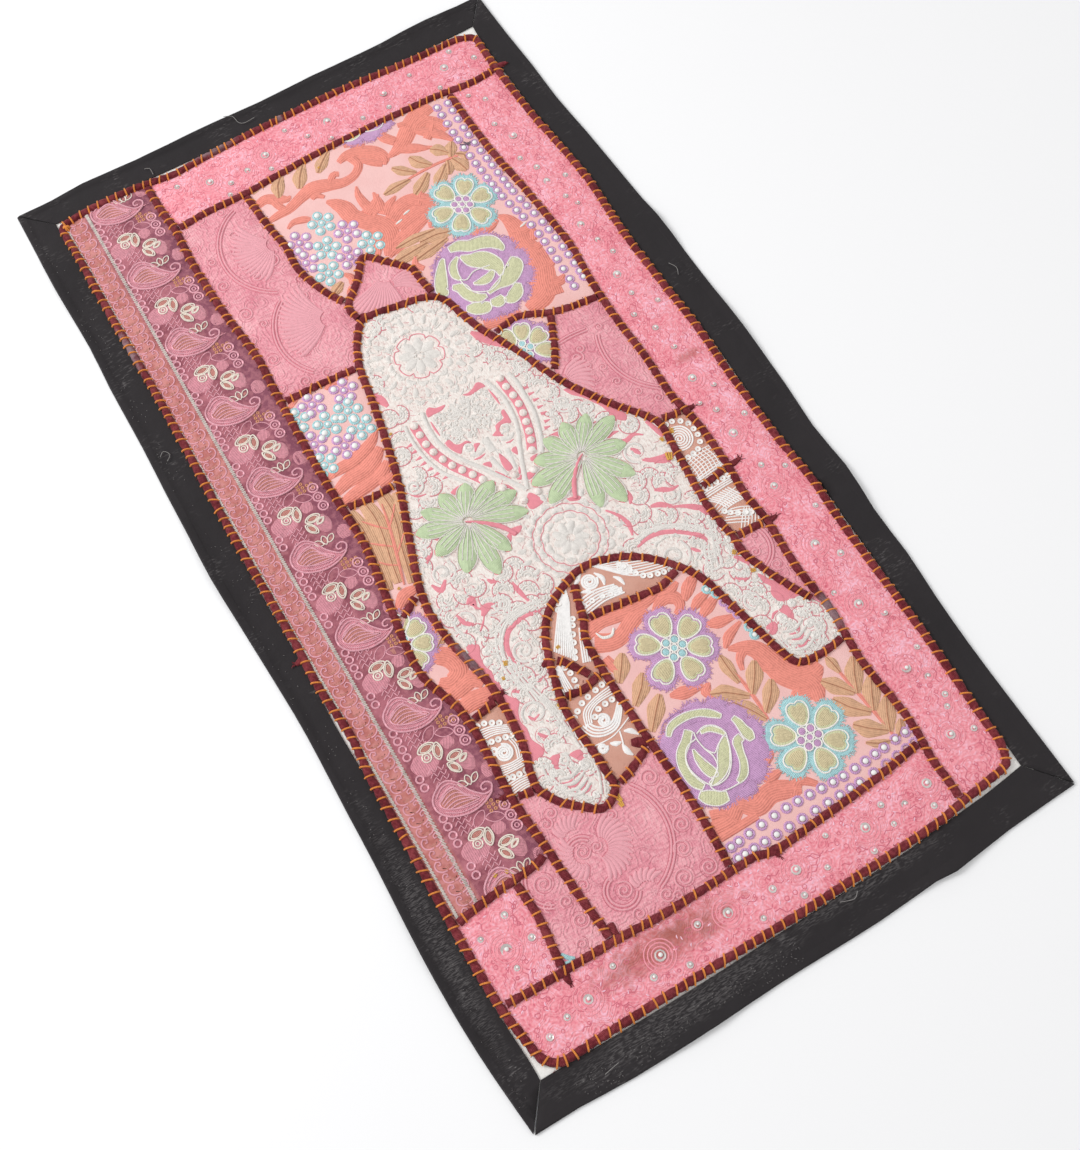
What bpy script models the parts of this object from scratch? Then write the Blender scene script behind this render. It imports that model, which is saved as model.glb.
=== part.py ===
"""A patchwork wall hanging of embroidered pieces, lying flat and face up.

Blender works in metres here, +Z up. X runs along the short side and Y along the long side, from the lower
edge to the upper one. The tables are in millimetres on the plan, and MM turns them into metres. Every height
is a thickness of cloth above the surface that the hanging lies on, so the layers stack up as they are sewn:
ground cloth, then patches and border, then the cord over each seam.
"""

import math

import bmesh
import bpy

for old in list(bpy.data.objects):
    bpy.data.objects.remove(old, do_unlink=True)

MM = 0.001

# Where the middle of the outline falls on the plan that the tables were drawn on.
PLAN_MIDDLE = (0.8, 0.5)

# Thicknesses, and the gap left between pieces that touch.
CLOTH = 1.0
GAP = 0.3
PATCH_BOTTOM = CLOTH + GAP
PATCH_TOP = PATCH_BOTTOM + CLOTH
CORD_BOTTOM = PATCH_TOP + GAP

# The couched cord: a flat-bottomed ridge.
CORD_HALF = 3.7
CORD_HEIGHT = 3.0
CORD_PROFILE = [(-1, 0), (-0.72, 0.72), (0, 1), (0.72, 0.72), (1, 0)]
CORD_STEP = 17.0

# Two seams meet at a point that is already there if it is this near. A cord ends this far short of the side
# of the one that it butts against, to the nearest fine step, and takes in a bend that is nearer than this.
CORNER_REACH = 4.0
BUTT_GAP = 0.8
FINE_STEP = 0.5
NEAR_BEND = 5.0

# How far the mitre of a sharp corner may reach: the least that it divides by, in a patch and in a cord.
PATCH_MITRE = 0.12
CORD_MITRE = 0.5

# The border: its usual width, how far it laps over the ground cloth, and the rolled hem at its outer edge.
BORDER_WIDTH = 31.0
LAP = 8.0
HEM = 7.0
HEM_ROUND = 1.3
BORDER_TOP = PATCH_TOP - 0.2
HEM_TOP = BORDER_TOP + 0.8
BORDER_STEP = 36.0

# The corners of the border on the plan: the inner one, then the outer one.
BORDER_CORNERS = {
    "top_left": ((-243, 470.5), (-272.8, 498)),
    "top_right": ((240.5, 475.8), (266.2, 509)),
    "bottom_right": ((243.5, -463.5), (274.2, -500.6)),
    "bottom_left": ((-246.5, -469), (-271.8, -502)),
}

# The sides, clockwise: the corners that each one runs between, and the places between them where its edges
# turn. A row is the distance along the side, then how far out the inner edge and the outer edge lie there.
BORDER_SIDES = {
    "left": ("bottom_left", "top_left", [
        (-450, 246.5, 277), (-400, 249.7, 280), (-335, 250.3, 280.3), (-250, 248, 277), (-200, 247.2, 276),
        (-125, 248.3, 274), (-75, 247, 275), (0, 247.6, 278), (50, 247.3, 280), (100, 246, 278.7),
        (150, 245.6, 277.7), (200, 243.7, 276), (275, 243, 275.3), (325, 243.7, 273.2), (400, 243.6, 274.7),
        (450, 242.7, 273.7),
    ]),
    "top": ("top_left", "top_right", [
        (-235, 470.2, 498.8), (-200, 472.7, 502.3), (-140, 472.3, 501), (-80, 472.2, 501.8), (0, 475.2, 502),
        (60, 475, 504.7), (120, 474, 505), (200, 474.2, 507.7),
    ]),
    "right": ("top_right", "bottom_right", [
        (450, 238.2, 267), (400, 239, 269), (350, 239.4, 269.3), (300, 243.6, 273), (250, 246, 275.7),
        (175, 243.8, 279.3), (125, 244.4, 281), (75, 246, 281.4), (25, 247.6, 282.3), (-50, 245.4, 281.7),
        (-100, 246, 278.7), (-150, 249.5, 280.5), (-200, 248.2, 277), (-250, 248, 278), (-300, 246.7, 274.7),
        (-350, 247, 273), (-400, 244.7, 273), (-450, 244, 273.7),
    ]),
    "bottom": ("bottom_right", "bottom_left", [
        (200, 468, 503), (140, 470.6, 508), (120, 472.3, 506), (60, 473, 508), (-40, 473, 506.3),
        (-100, 473, 507.3), (-180, 471.2, 506.3), (-230, 469.3, 502.6),
    ]),
}

# Places where the outer edge of the border stands off the surface, in a soft wave: side, where its crest
# is along the side, half the wave's length, and how high the crest is.
BORDER_WAVES = [
    ("left", 395, 60, 2.0),
    ("left", 60, 90, 3.2),
    ("left", -330, 70, 2.4),
    ("right", 165, 38, 4.2),
    ("right", 30, 70, 2.6),
    ("right", -170, 60, 3.0),
    ("top", -60, 80, 1.6),
    ("top", 190, 50, 2.4),
    ("bottom", -110, 70, 2.2),
    ("bottom", 140, 45, 3.0),
]

# The cord runs: the runs that its start and its end butt against, and the bends of the seam under it. The
# outer run is a closed loop, so it butts against none.
RUNS = {
    "outer": (None, None, [
        (-236, 464), (-205, 468.5), (-156, 468.6), (-118, 464.2), (-73, 467.6), (0, 471), (79, 471.8),
        (156, 468.6), (218, 467.6), (233, 461), (233.3, 415), (235.3, 345), (240.5, 285), (242.6, 241),
        (239.5, 178), (241, 100), (243, 44), (241.1, -28), (242, -100), (245, -150), (243, -200),
        (243.4, -320), (241, -400), (240, -440), (233, -455.5), (180, -463), (140, -467), (20, -468.6),
        (-84, -467.2), (-196, -466.3), (-226, -465.5), (-236.7, -456), (-241.7, -432), (-245.8, -400),
        (-246.4, -344), (-244.9, -250), (-244.5, -185), (-241.3, -145), (-244.5, -88), (-243.2, -49),
        (-243.3, 40), (-243.4, 95), (-240.4, 230), (-240.7, 345), (-239.7, 427), (-240, 458),
    ]),
    "left": ("outer", "bottom", [
        (-145.6, 468.4), (-145.8, 430), (-143.7, 402.5), (-146.4, 365), (-145.6, 300), (-140, 235),
        (-142.5, 185), (-145.6, 85), (-144.8, 10), (-152.5, -46), (-159, -90), (-161.3, -128), (-153, -155),
        (-146.8, -186), (-149.2, -262), (-146.5, -310), (-142.8, -368), (-138.5, -407.6),
    ]),
    "top": ("left", "outer", [
        (-143.6, 402.5), (-110, 405.8), (-65, 406.4), (-20, 410.4), (42, 414.3), (150, 415), (204, 411.2),
        (233.3, 415),
    ]),
    "right": ("top", "outer", [
        (174.3, 414.6), (174, 370), (176.2, 318), (181.2, 270), (184.6, 222), (185.6, 185), (181.2, 140),
        (180, 90), (181.4, 45), (180.2, -8), (185, -40), (185, -92), (182.3, -128), (184.8, -160),
        (181.8, -212), (184.8, -262), (180.2, -315), (184.2, -376), (180.2, -424), (182.4, -463),
    ]),
    "bottom": ("outer", "right", [
        (-245.6, -404.6), (-215, -406.5), (-140, -407.6), (-84, -410.3), (0, -410), (18, -414.5), (50, -413),
        (130, -408), (181.8, -401),
    ]),
    "centre": ("right", "right", [
        (183.6, -288), (150, -291), (130, -286), (121.5, -262), (109, -205), (98, -168), (68, -133),
        (38, -116.5), (10, -112.6), (-28, -127.7), (-50, -153), (-63, -190), (-70, -225), (-68.1, -262),
        (-69.5, -300), (-86, -309), (-104, -297), (-126, -266.8), (-116.5, -222), (-114, -168),
        (-125.2, -107), (-124.5, -62), (-106, -4), (-87.7, 48), (-71, 118), (-60.5, 174), (-51.5, 195),
        (-35, 216.5), (-20, 218), (0, 214.5), (42, 203), (58, 157), (79.2, 110), (97, 64), (122, 22),
        (152, -19), (153, -45), (145.8, -118), (149, -158), (148, -175), (161, -212), (183.2, -258),
    ]),
    "peak": ("centre", "centre", [
        (-35, 216.5), (-38.6, 234), (-34, 243), (-18, 257.5), (2.5, 280), (20, 263), (37, 243), (37.5, 230),
        (40.5, 205),
    ]),
    "pale_coral": ("top", "peak", [
        (-65, 406.4), (-62.5, 362), (-58.6, 328), (-60.2, 303), (-52, 270), (-37.2, 240),
    ]),
    "pale_foot": ("left", "centre", [(-142.7, 176.2), (-108, 175.8), (-60.8, 173.6)]),
    "bead_foot": ("left", "centre", [(-144.8, 50), (-118, 46.6), (-87.7, 47.6)]),
    "leaf_foot": ("left", "centre", [(-158, -73.4), (-142, -67), (-122.5, -54)]),
    "coral_foot": ("left", "centre", [(-146.8, -185), (-113.9, -179.6)]),
    "sequin_foot": ("left", "centre", [(-149.3, -260.3), (-126, -266.8)]),
    "coral_top_foot": ("centre", "right", [(68, 138), (98, 144), (128, 132), (150, 127), (181, 123.6)]),
    "wedge_side": ("coral_top_foot", "centre", [(127.8, 131.6), (112, 98), (95.4, 70)]),
    "right_tie_1": ("centre", "right", [(152.4, -22.6), (182.6, -23.6)]),
    "right_tie_2": ("centre", "right", [(146.8, -98), (172, -97), (185.6, -94)]),
    "right_tie_3": ("centre", "right", [(149, -159), (185, -158)]),
    "arch_side": ("centre", "bottom", [
        (1.5, -113.4), (-4, -130), (-12, -156), (-19.6, -171), (-22, -205), (-21.6, -265), (-18.8, -345),
        (-22.4, -410.4),
    ]),
    "arch_head": ("arch_side", "centre", [(-11.6, -155), (20, -159), (66, -164), (91.4, -156)]),
    "arch_brace": ("centre", "arch_shelf", [(-57.6, -171), (-47, -181), (-31, -206.6)]),
    "arch_shelf": ("centre", "arch_side", [(-66, -209.6), (-45, -210.6), (-22, -204.6)]),
    "arch_foot": ("centre", "arch_side", [(-69.3, -300.6), (-48, -293), (-22.2, -281)]),
    "corner_head": ("outer", "left", [(-246.4, -329), (-196, -323), (-160, -320.7), (-146.4, -315)]),
    "corner_split": ("corner_head", "bottom", [(-184, -321.6), (-181.6, -358), (-186.7, -406.5)]),
}

# The patches: a point inside each one on the plan, and its colour.
MAUVE = (0.34, 0.11, 0.12)
BRIGHT_PINK = (0.87, 0.28, 0.36)
PALE_PINK = (0.84, 0.35, 0.38)
CORAL = (0.80, 0.40, 0.36)
WHITE = (0.83, 0.72, 0.68)
SEQUIN_TAN = (0.62, 0.44, 0.37)
PATCHES = {
    "patch_sari_border": (-195, 60, MAUVE),
    "patch_top_strip": (50, 440, BRIGHT_PINK),
    "patch_right_strip": (213, -100, BRIGHT_PINK),
    "patch_pale_left": (-100, 300, PALE_PINK),
    "patch_coral_top": (60, 340, CORAL),
    "patch_peak": (0, 240, PALE_PINK),
    "patch_centre": (0, 60, WHITE),
    "patch_bead_flowers": (-110, 110, CORAL),
    "patch_tan_leaf": (-128, 0, CORAL),
    "patch_coral_left": (-138, -120, CORAL),
    "patch_sequin_left": (-130, -225, SEQUIN_TAN),
    "patch_wedge": (100, 120, CORAL),
    "patch_pale_right": (150, 60, PALE_PINK),
    "patch_sequin_right_1": (168, -60, SEQUIN_TAN),
    "patch_sequin_right_2": (165, -128, SEQUIN_TAN),
    "patch_pale_right_low": (174, -195, PALE_PINK),
    "patch_sequin_arch_left": (-30, -160, SEQUIN_TAN),
    "patch_sequin_triangle": (-42, -200, SEQUIN_TAN),
    "patch_sequin_arch_head": (45, -140, SEQUIN_TAN),
    "patch_sequin_arch_low": (-45, -250, SEQUIN_TAN),
    "patch_coral_bottom": (60, -300, CORAL),
    "patch_pale_bottom": (-80, -360, PALE_PINK),
    "patch_corner_bright": (-215, -365, BRIGHT_PINK),
    "patch_corner_pale": (-162, -365, PALE_PINK),
    "patch_bottom_strip": (60, -440, BRIGHT_PINK),
}

CORD_COLOUR = (0.12, 0.012, 0.02)
BORDER_COLOUR = (0.03, 0.028, 0.03)
GROUND_COLOUR = (0.85, 0.84, 0.82)


def on_bend(a, b, c, d, t):
    """The number a share t of the way from b to c, on the smooth line through all four."""
    bend = (2 * a - 5 * b + 4 * c - d) * t**2 + (3 * b - a - 3 * c + d) * t**3
    return 0.5 * (2 * b + (c - a) * t + bend)


def smooth_line(bends, step, closed=False):
    """Points about a step apart on a smooth line through the bends."""
    count = len(bends)
    spans = count if closed else count - 1
    line = []
    for i in range(spans):
        before, start, end, after = (
            bends[(i + k) % count if closed else min(max(i + k, 0), count - 1)] for k in (-1, 0, 1, 2)
        )
        parts = max(1, round(math.dist(start, end) / step))
        for j in range(parts):
            line.append(tuple(on_bend(*four, j / parts) for four in zip(before, start, end, after)))
    if not closed:
        line.append(bends[-1])
    return line


def nearest(line, point, closed):
    """The nearest place to a point on a line: its distance, the span that it is on, and the place."""
    best = None
    for i in range(len(line) if closed else len(line) - 1):
        a, b = line[i], line[(i + 1) % len(line)]
        along = (b[0] - a[0], b[1] - a[1])
        over = (point[0] - a[0]) * along[0] + (point[1] - a[1]) * along[1]
        share = min(max(over / (along[0] ** 2 + along[1] ** 2), 0.0), 1.0)
        place = (a[0] + share * along[0], a[1] + share * along[1])
        found = (math.dist(place, point), i, place)
        if best is None or found < best:
            best = found
    return best


def join_to(lines, name, point):
    """Puts a point of its own on the named line, at the place nearest to this point, and returns it."""
    line = lines[name]
    _, span, place = nearest(line, point, closed=name == "outer")
    for corner in (span, (span + 1) % len(line)):
        if math.dist(line[corner], place) < CORNER_REACH:
            return line[corner]
    line.insert(span + 1, place)
    return place


def seam_lines():
    """Every run's centre line, with a shared point wherever two runs meet."""
    lines = {name: smooth_line(bends, CORD_STEP, start is None) for name, (start, _, bends) in RUNS.items()}
    for name, (start_on, end_on, _) in RUNS.items():
        if start_on:
            lines[name][0] = join_to(lines, start_on, lines[name][0])
            lines[name][-1] = join_to(lines, end_on, lines[name][-1])
    return lines


def regions(lines):
    """The loops of points that the seams enclose, each one run round anticlockwise."""
    near = {}
    for name, line in lines.items():
        pairs = list(zip(line, line[1:])) + ([(line[-1], line[0])] if name == "outer" else [])
        for a, b in pairs:
            near.setdefault(a, set()).add(b)
            near.setdefault(b, set()).add(a)
    turn = {
        a: sorted(ends, key=lambda b, a=a: math.atan2(b[1] - a[1], b[0] - a[0])) for a, ends in near.items()
    }
    unused = {(a, b) for a, ends in near.items() for b in ends}
    loops = []
    while unused:
        first = min(unused)
        loop, edge = [], first
        while edge in unused:
            unused.discard(edge)
            loop.append(edge[0])
            a, b = edge
            ends = turn[b]
            edge = (b, ends[ends.index(a) - 1])
        if signed_area(loop) > 0:
            loops.append(loop)
    return loops


def signed_area(loop):
    return 0.5 * sum(a[0] * b[1] - b[0] * a[1] for a, b in zip(loop, loop[1:] + loop[:1]))


def inside(loop, point):
    x, y = point
    crossings = 0
    for a, b in zip(loop, loop[1:] + loop[:1]):
        if (a[1] > y) != (b[1] > y) and x < a[0] + (y - a[1]) * (b[0] - a[0]) / (b[1] - a[1]):
            crossings += 1
    return crossings % 2 == 1


def drawn_in(loop, inset):
    """The loop with each side moved inwards by the inset."""
    moved = []
    for before, here, after in zip(loop[-1:] + loop[:-1], loop, loop[1:] + loop[:1]):
        in_1, in_2 = inward(before, here), inward(here, after)
        along = 1 + in_1[0] * in_2[0] + in_1[1] * in_2[1]
        reach = inset / max(along, PATCH_MITRE)
        moved.append((here[0] + (in_1[0] + in_2[0]) * reach, here[1] + (in_1[1] + in_2[1]) * reach))
    return moved


def inward(a, b):
    """The unit vector to the left of the way from a to b."""
    length = math.dist(a, b)
    return ((a[1] - b[1]) / length, (b[0] - a[0]) / length)


def add_piece(name, points, faces, colour, roughness):
    """One closed piece of cloth or cord from points on the plan in millimetres."""
    mesh = bpy.data.meshes.new(name)
    middle_x, middle_y = PLAN_MIDDLE
    mesh.from_pydata([((x - middle_x) * MM, (y - middle_y) * MM, z * MM) for x, y, z in points], [], faces)
    shape = bmesh.new()
    shape.from_mesh(mesh)
    bmesh.ops.recalc_face_normals(shape, faces=shape.faces)
    bmesh.ops.triangulate(shape, faces=shape.faces)
    shape.to_mesh(mesh)
    shape.free()
    material = bpy.data.materials.new(name)
    material.use_nodes = True
    surface = material.node_tree.nodes["Principled BSDF"]
    surface.inputs["Base Color"].default_value = (*colour, 1)
    surface.inputs["Roughness"].default_value = roughness
    mesh.materials.append(material)
    piece = bpy.data.objects.new(name, mesh)
    bpy.context.scene.collection.objects.link(piece)
    return piece


def flat_piece(name, loop, bottom, top, colour, roughness=0.9):
    """A flat piece of cloth with this outline."""
    count = len(loop)
    points = [(x, y, bottom) for x, y in loop] + [(x, y, top) for x, y in loop]
    sides = [(i, (i + 1) % count, count + (i + 1) % count, count + i) for i in range(count)]
    caps = [tuple(reversed(range(count))), tuple(range(count, 2 * count))]
    return add_piece(name, points, sides + caps, colour, roughness)


def swept_piece(name, sections, closed, colour, roughness=0.9):
    """A solid run through its cross sections, each with the same number of points."""
    points = [point for section in sections for point in section]
    round_it, count = len(sections[0]), len(sections)
    faces = []
    for i in range(count if closed else count - 1):
        for j in range(round_it):
            this, there, beside = i * round_it, (i + 1) % count * round_it, (j + 1) % round_it
            faces.append((this + j, there + j, there + beside, this + beside))
    if not closed:
        faces.append(tuple(range(round_it)))
        faces.append(tuple((count - 1) * round_it + j for j in reversed(range(round_it))))
    return add_piece(name, points, faces, colour, roughness)


def cord_section(before, here, after):
    """The cord's cross section at a point of its line."""
    in_1, in_2 = inward(before, here), inward(here, after)
    along = max(1 + in_1[0] * in_2[0] + in_1[1] * in_2[1], CORD_MITRE)
    over = [(a + b) * CORD_HALF / along for a, b in zip(in_1, in_2)]
    return [
        (here[0] + over[0] * side, here[1] + over[1] * side, CORD_BOTTOM + CORD_HEIGHT * up)
        for side, up in CORD_PROFILE
    ]


def cut_back(line, onto, closed):
    """The line with its start cut back to where a cord's end clears the cord that it butts against."""
    clear = CORD_HALF + BUTT_GAP
    travelled = 0
    here, rest = line[0], list(line[1:])
    while rest:
        ahead = rest[0]
        across_it = inward(here, ahead)
        corners = [tuple(h + side * CORD_HALF * a for h, a in zip(here, across_it)) for side in (-1, 0, 1)]
        if travelled and min(nearest(onto, corner, closed)[0] for corner in corners) >= clear:
            break
        left = math.dist(here, ahead)
        if left <= FINE_STEP:
            here = rest.pop(0)
        else:
            here = tuple(h + (a - h) * FINE_STEP / left for h, a in zip(here, ahead))
        travelled += FINE_STEP
    if math.dist(here, rest[0]) < NEAR_BEND and len(rest) > 1:
        rest.pop(0)
    return [here, *rest]


def make_cords(lines):
    for name, (start_on, end_on, _) in RUNS.items():
        line = lines[name]
        if start_on:
            line = cut_back(line, lines[start_on], start_on == "outer")
            line = cut_back(line[::-1], lines[end_on], end_on == "outer")[::-1]
            before = [line[0], *line[:-1]]
            after = [*line[1:], line[-1]]
            before[0] = tuple(2 * a - b for a, b in zip(line[0], line[1]))
            after[-1] = tuple(2 * a - b for a, b in zip(line[-1], line[-2]))
        else:
            before, after = line[-1:] + line[:-1], line[1:] + line[:1]
        sections = [cord_section(*three) for three in zip(before, line, after)]
        swept_piece(f"cord_{name}", sections, start_on is None, CORD_COLOUR)


def make_patches(lines):
    loops = regions(lines)
    for name, (x, y, colour) in PATCHES.items():
        loop = next(found for found in loops if inside(found, (x, y)))
        flat_piece(name, drawn_in(loop, GAP / 2), PATCH_BOTTOM, PATCH_TOP, colour)


def side_stations(side):
    """The places along one side where its cross section is set: inner x and y, then outer x and y."""
    start, end, rows = BORDER_SIDES[side]
    stations = [(*BORDER_CORNERS[start][0], *BORDER_CORNERS[start][1])]
    out = -1 if side in ("left", "bottom") else 1
    for along, inner, outer in rows:
        if side in ("left", "right"):
            stations.append((out * inner, along, out * outer, along))
        else:
            stations.append((along, out * inner, along, out * outer))
    stations.append((*BORDER_CORNERS[end][0], *BORDER_CORNERS[end][1]))
    return smooth_line(stations, BORDER_STEP)


def across(station, distance):
    """The place this far out from the inner edge, for a border of the usual width."""
    share = distance / BORDER_WIDTH
    return (
        station[0] + (station[2] - station[0]) * share,
        station[1] + (station[3] - station[1]) * share,
    )


def wave_height(side, station):
    """How far the border's outer edge stands off the surface at this place."""
    along = station[3] if side in ("left", "right") else station[2]
    height = 0
    for where, crest, half, high in BORDER_WAVES:
        share = abs(along - crest) / half
        if where == side and share < 1:
            height += high * 0.5 * (1 + math.cos(math.pi * share))
    return height


def border_section(side, station):
    """The strip's cross section: over the ground cloth's edge, down to the surface, up round the hem."""
    profile = [
        (0, PATCH_BOTTOM), (LAP, PATCH_BOTTOM), (LAP, 0), (BORDER_WIDTH - HEM_ROUND, 0),
        (BORDER_WIDTH, HEM_ROUND), (BORDER_WIDTH - HEM_ROUND, HEM_TOP), (BORDER_WIDTH - HEM, HEM_TOP),
        (BORDER_WIDTH - HEM - HEM_ROUND, BORDER_TOP), (0, BORDER_TOP),
    ]
    lift = wave_height(side, station)
    section = []
    for distance, height in profile:
        rise = lift * max(distance - LAP, 0) / (BORDER_WIDTH - LAP)
        section.append((*across(station, distance), height + rise))
    return section


def moved_on(station, towards, distance):
    """The station moved this far along the side."""
    share = distance / math.dist(station[:2], towards[:2])
    return tuple(a + (b - a) * share for a, b in zip(station, towards))


def make_border():
    for side in BORDER_SIDES:
        stations = side_stations(side)
        stations[0] = moved_on(stations[0], stations[1], GAP)
        stations[-1] = moved_on(stations[-1], stations[-2], GAP)
        swept_piece(
            f"border_{side}", [border_section(side, station) for station in stations], False, BORDER_COLOUR
        )


def make_ground_cloth():
    loop = [across(station, LAP - GAP) for side in BORDER_SIDES for station in side_stations(side)[:-1]]
    flat_piece("ground_cloth", loop, 0, CLOTH, GROUND_COLOUR)


def main():
    lines = seam_lines()
    make_ground_cloth()
    make_border()
    make_patches(lines)
    make_cords(lines)


main()
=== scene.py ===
"""The looks of a patchwork wall hanging of embroidered pieces, lying flat and face up.

Places on the hanging are given in millimetres on its plan, with x along the short side and y along the long
side. Heights are millimetres above the surface that it lies on. What is made is in metres, as the frame is.
"""

import math
import random

import bmesh
import bpy
from mathutils import Matrix, Vector, kdtree, noise


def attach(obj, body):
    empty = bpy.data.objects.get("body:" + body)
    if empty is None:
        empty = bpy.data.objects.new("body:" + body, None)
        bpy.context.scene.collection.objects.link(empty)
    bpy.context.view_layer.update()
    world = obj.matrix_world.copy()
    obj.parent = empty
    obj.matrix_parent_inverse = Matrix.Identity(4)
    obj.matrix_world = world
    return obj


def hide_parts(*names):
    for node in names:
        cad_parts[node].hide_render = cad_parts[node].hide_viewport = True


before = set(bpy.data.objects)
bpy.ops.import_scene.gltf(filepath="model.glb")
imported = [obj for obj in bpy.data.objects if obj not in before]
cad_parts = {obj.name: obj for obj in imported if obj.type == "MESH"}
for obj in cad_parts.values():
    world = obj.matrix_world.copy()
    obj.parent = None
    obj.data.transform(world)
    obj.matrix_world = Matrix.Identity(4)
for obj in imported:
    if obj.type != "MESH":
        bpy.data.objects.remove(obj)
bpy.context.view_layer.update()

bpy.ops.object.select_all(action="DESELECT")

# The ground cloth is the white cotton that every patch is sewn down to. It shows at the inner corners of the
# border, in slivers along its sides, and all over the back.
MM = 0.001
PLAN_MIDDLE = (0.8, 0.5)
GROUND_CELL = 22
GROUND_THICK = 0.7
TOP_SHARE = 0.05 * MM


def dye(red, green, blue):
    """A colour as it looks, each part 0 to 255, turned into the linear light that the shaders take."""
    return tuple(((part / 255 + 0.055) / 1.055) ** 2.4 for part in (red, green, blue))


class Socket:
    """One output of a node, with the operators that the finishes use."""

    def __init__(self, surface, output):
        self.surface = surface
        self.output = output

    def __add__(self, other):
        return self.surface.math("ADD", self, other)

    __radd__ = __add__

    def __sub__(self, other):
        return self.surface.math("SUBTRACT", self, other)

    def __rsub__(self, other):
        return self.surface.math("SUBTRACT", other, self)

    def __mul__(self, other):
        return self.surface.math("MULTIPLY", self, other)

    __rmul__ = __mul__


class Surface:
    """A material with one Principled BSDF, and the one method that adds any other node."""

    def __init__(self, name, roughness, sheen=0.0):
        self.material = bpy.data.materials.new(name)
        self.material.use_nodes = True
        self.tree = self.material.node_tree
        self.shader = self.tree.nodes["Principled BSDF"]
        self.shader.inputs["Roughness"].default_value = roughness
        self.shader.inputs["Sheen Weight"].default_value = sheen
        self.shader.inputs["Specular IOR Level"].default_value = 0.25
        self.place = self.add("ShaderNodeTexCoord", out="Object")

    def fill(self, node, sockets):
        for key, value in sockets.items():
            if isinstance(value, Socket):
                self.tree.links.new(value.output, node.inputs[key])
            elif isinstance(value, tuple) and node.inputs[key].type == "RGBA":
                node.inputs[key].default_value = (*value, 1)
            else:
                node.inputs[key].default_value = value

    def add(self, kind, settings=None, sockets=None, out=0):
        node = self.tree.nodes.new(kind)
        for key, value in (settings or {}).items():
            if key == "stops":
                band = node.color_ramp.elements
                while len(band) < len(value):
                    band.new(0.5)
                for stop, (share, colour) in zip(band, value):
                    stop.position = share
                    stop.color = (*colour, 1) if isinstance(colour, tuple) else (colour, colour, colour, 1)
            else:
                setattr(node, key, value)
        self.fill(node, sockets or {})
        return Socket(self, node.outputs[out])

    def math(self, operation, *values):
        return self.add("ShaderNodeMath", {"operation": operation}, dict(enumerate(values)))

    def ramp(self, value, *stops):
        return self.add("ShaderNodeValToRGB", {"stops": stops}, {0: value})

    def mixed(self, factor, a, b):
        return self.add("ShaderNodeMix", {"data_type": "RGBA"}, {0: factor, 6: a, 7: b}, out=2)

    def noise(self, size, detail=2.0, stretch=(1, 1), middle=(0, 0)):
        """Noise from 0 to 1 in lumps of about this size in millimetres, drawn out along X or Y by stretch."""
        place = self.add("ShaderNodeMapping", None, {
            "Vector": self.place,
            "Location": (middle[0] / size, middle[1] / size, 0),
            "Scale": (1 / (size * MM * stretch[0]), 1 / (size * MM * stretch[1]), 1 / (size * MM)),
        })
        return self.add("ShaderNodeTexNoise", None, {"Vector": place, "Scale": 1.0, "Detail": detail})

    def bands(self, direction, pitch, wander=0.6):
        """Even waves from 0 to 1, this many millimetres apart."""
        return self.add("ShaderNodeTexWave", {"bands_direction": direction}, {
            "Vector": self.place,
            "Scale": 2 * math.pi / (20 * pitch * MM),
            "Distortion": wander,
            "Detail": 1.0,
        }, out="Fac")

    def meander(self, size, turns):
        """Waves from 0 to 1 that wander like vermicelli: the contours of a slow noise."""
        angle = self.noise(size, 0.0) * (turns * 2 * math.pi)
        return self.math("SINE", angle) * 0.5 + 0.5

    def apart(self, x, y, wide, long):
        """The distance from a place on the plan: 1 at the rim of an oval of these half sizes."""
        away = self.add("ShaderNodeMapping", None, {
            "Vector": self.place,
            "Location": ((PLAN_MIDDLE[0] - x) / wide, (PLAN_MIDDLE[1] - y) / long, 0),
            "Scale": (1 / (wide * MM), 1 / (long * MM), 0),
        })
        return self.add("ShaderNodeVectorMath", {"operation": "LENGTH"}, {0: away}, out="Value")

    def finish(self, colour, height=None, depth=0.4, **sockets):
        """Sets the colour, and a relief whose height of 0 to 1 stands for this many millimetres."""
        self.fill(self.shader, {"Base Color": colour, **sockets})
        if height is not None:
            relief = {"Height": height, "Distance": depth * MM, "Strength": 1.0}
            self.fill(self.shader, {"Normal": self.add("ShaderNodeBump", None, relief)})
        return self.material


def only_select(piece):
    bpy.ops.object.select_all(action="DESELECT")
    piece.select_set(True)
    bpy.context.view_layer.objects.active = piece


def linked(name, data):
    """A new object for a mesh, a curve, a lamp or a camera, active and alone in the selection."""
    made = bpy.data.objects.new(name, data)
    bpy.context.scene.collection.objects.link(made)
    only_select(made)
    return made


def edit_all():
    """Opens the active piece in edit mode with all of it selected."""
    bpy.ops.object.mode_set(mode="EDIT")
    bpy.ops.mesh.select_all(action="SELECT")


def on_plan(co):
    return (co.x / MM + PLAN_MIDDLE[0], co.y / MM + PLAN_MIDDLE[1])


def in_frame(x, y, z):
    return ((x - PLAN_MIDDLE[0]) * MM, (y - PLAN_MIDDLE[1]) * MM, z * MM)


def merged_copy(node):
    """A bmesh of a CAD node with its loose triangles joined up."""
    shape = bmesh.new()
    shape.from_mesh(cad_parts[node].data)
    bmesh.ops.remove_doubles(shape, verts=shape.verts, dist=1e-5)
    return shape


def top_face(node):
    """A bmesh of the flat top of a CAD node."""
    shape = merged_copy(node)
    top = max(v.co.z for v in shape.verts) - TOP_SHARE
    bmesh.ops.delete(shape, geom=[v for v in shape.verts if v.co.z < top], context="VERTS")
    return shape


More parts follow.
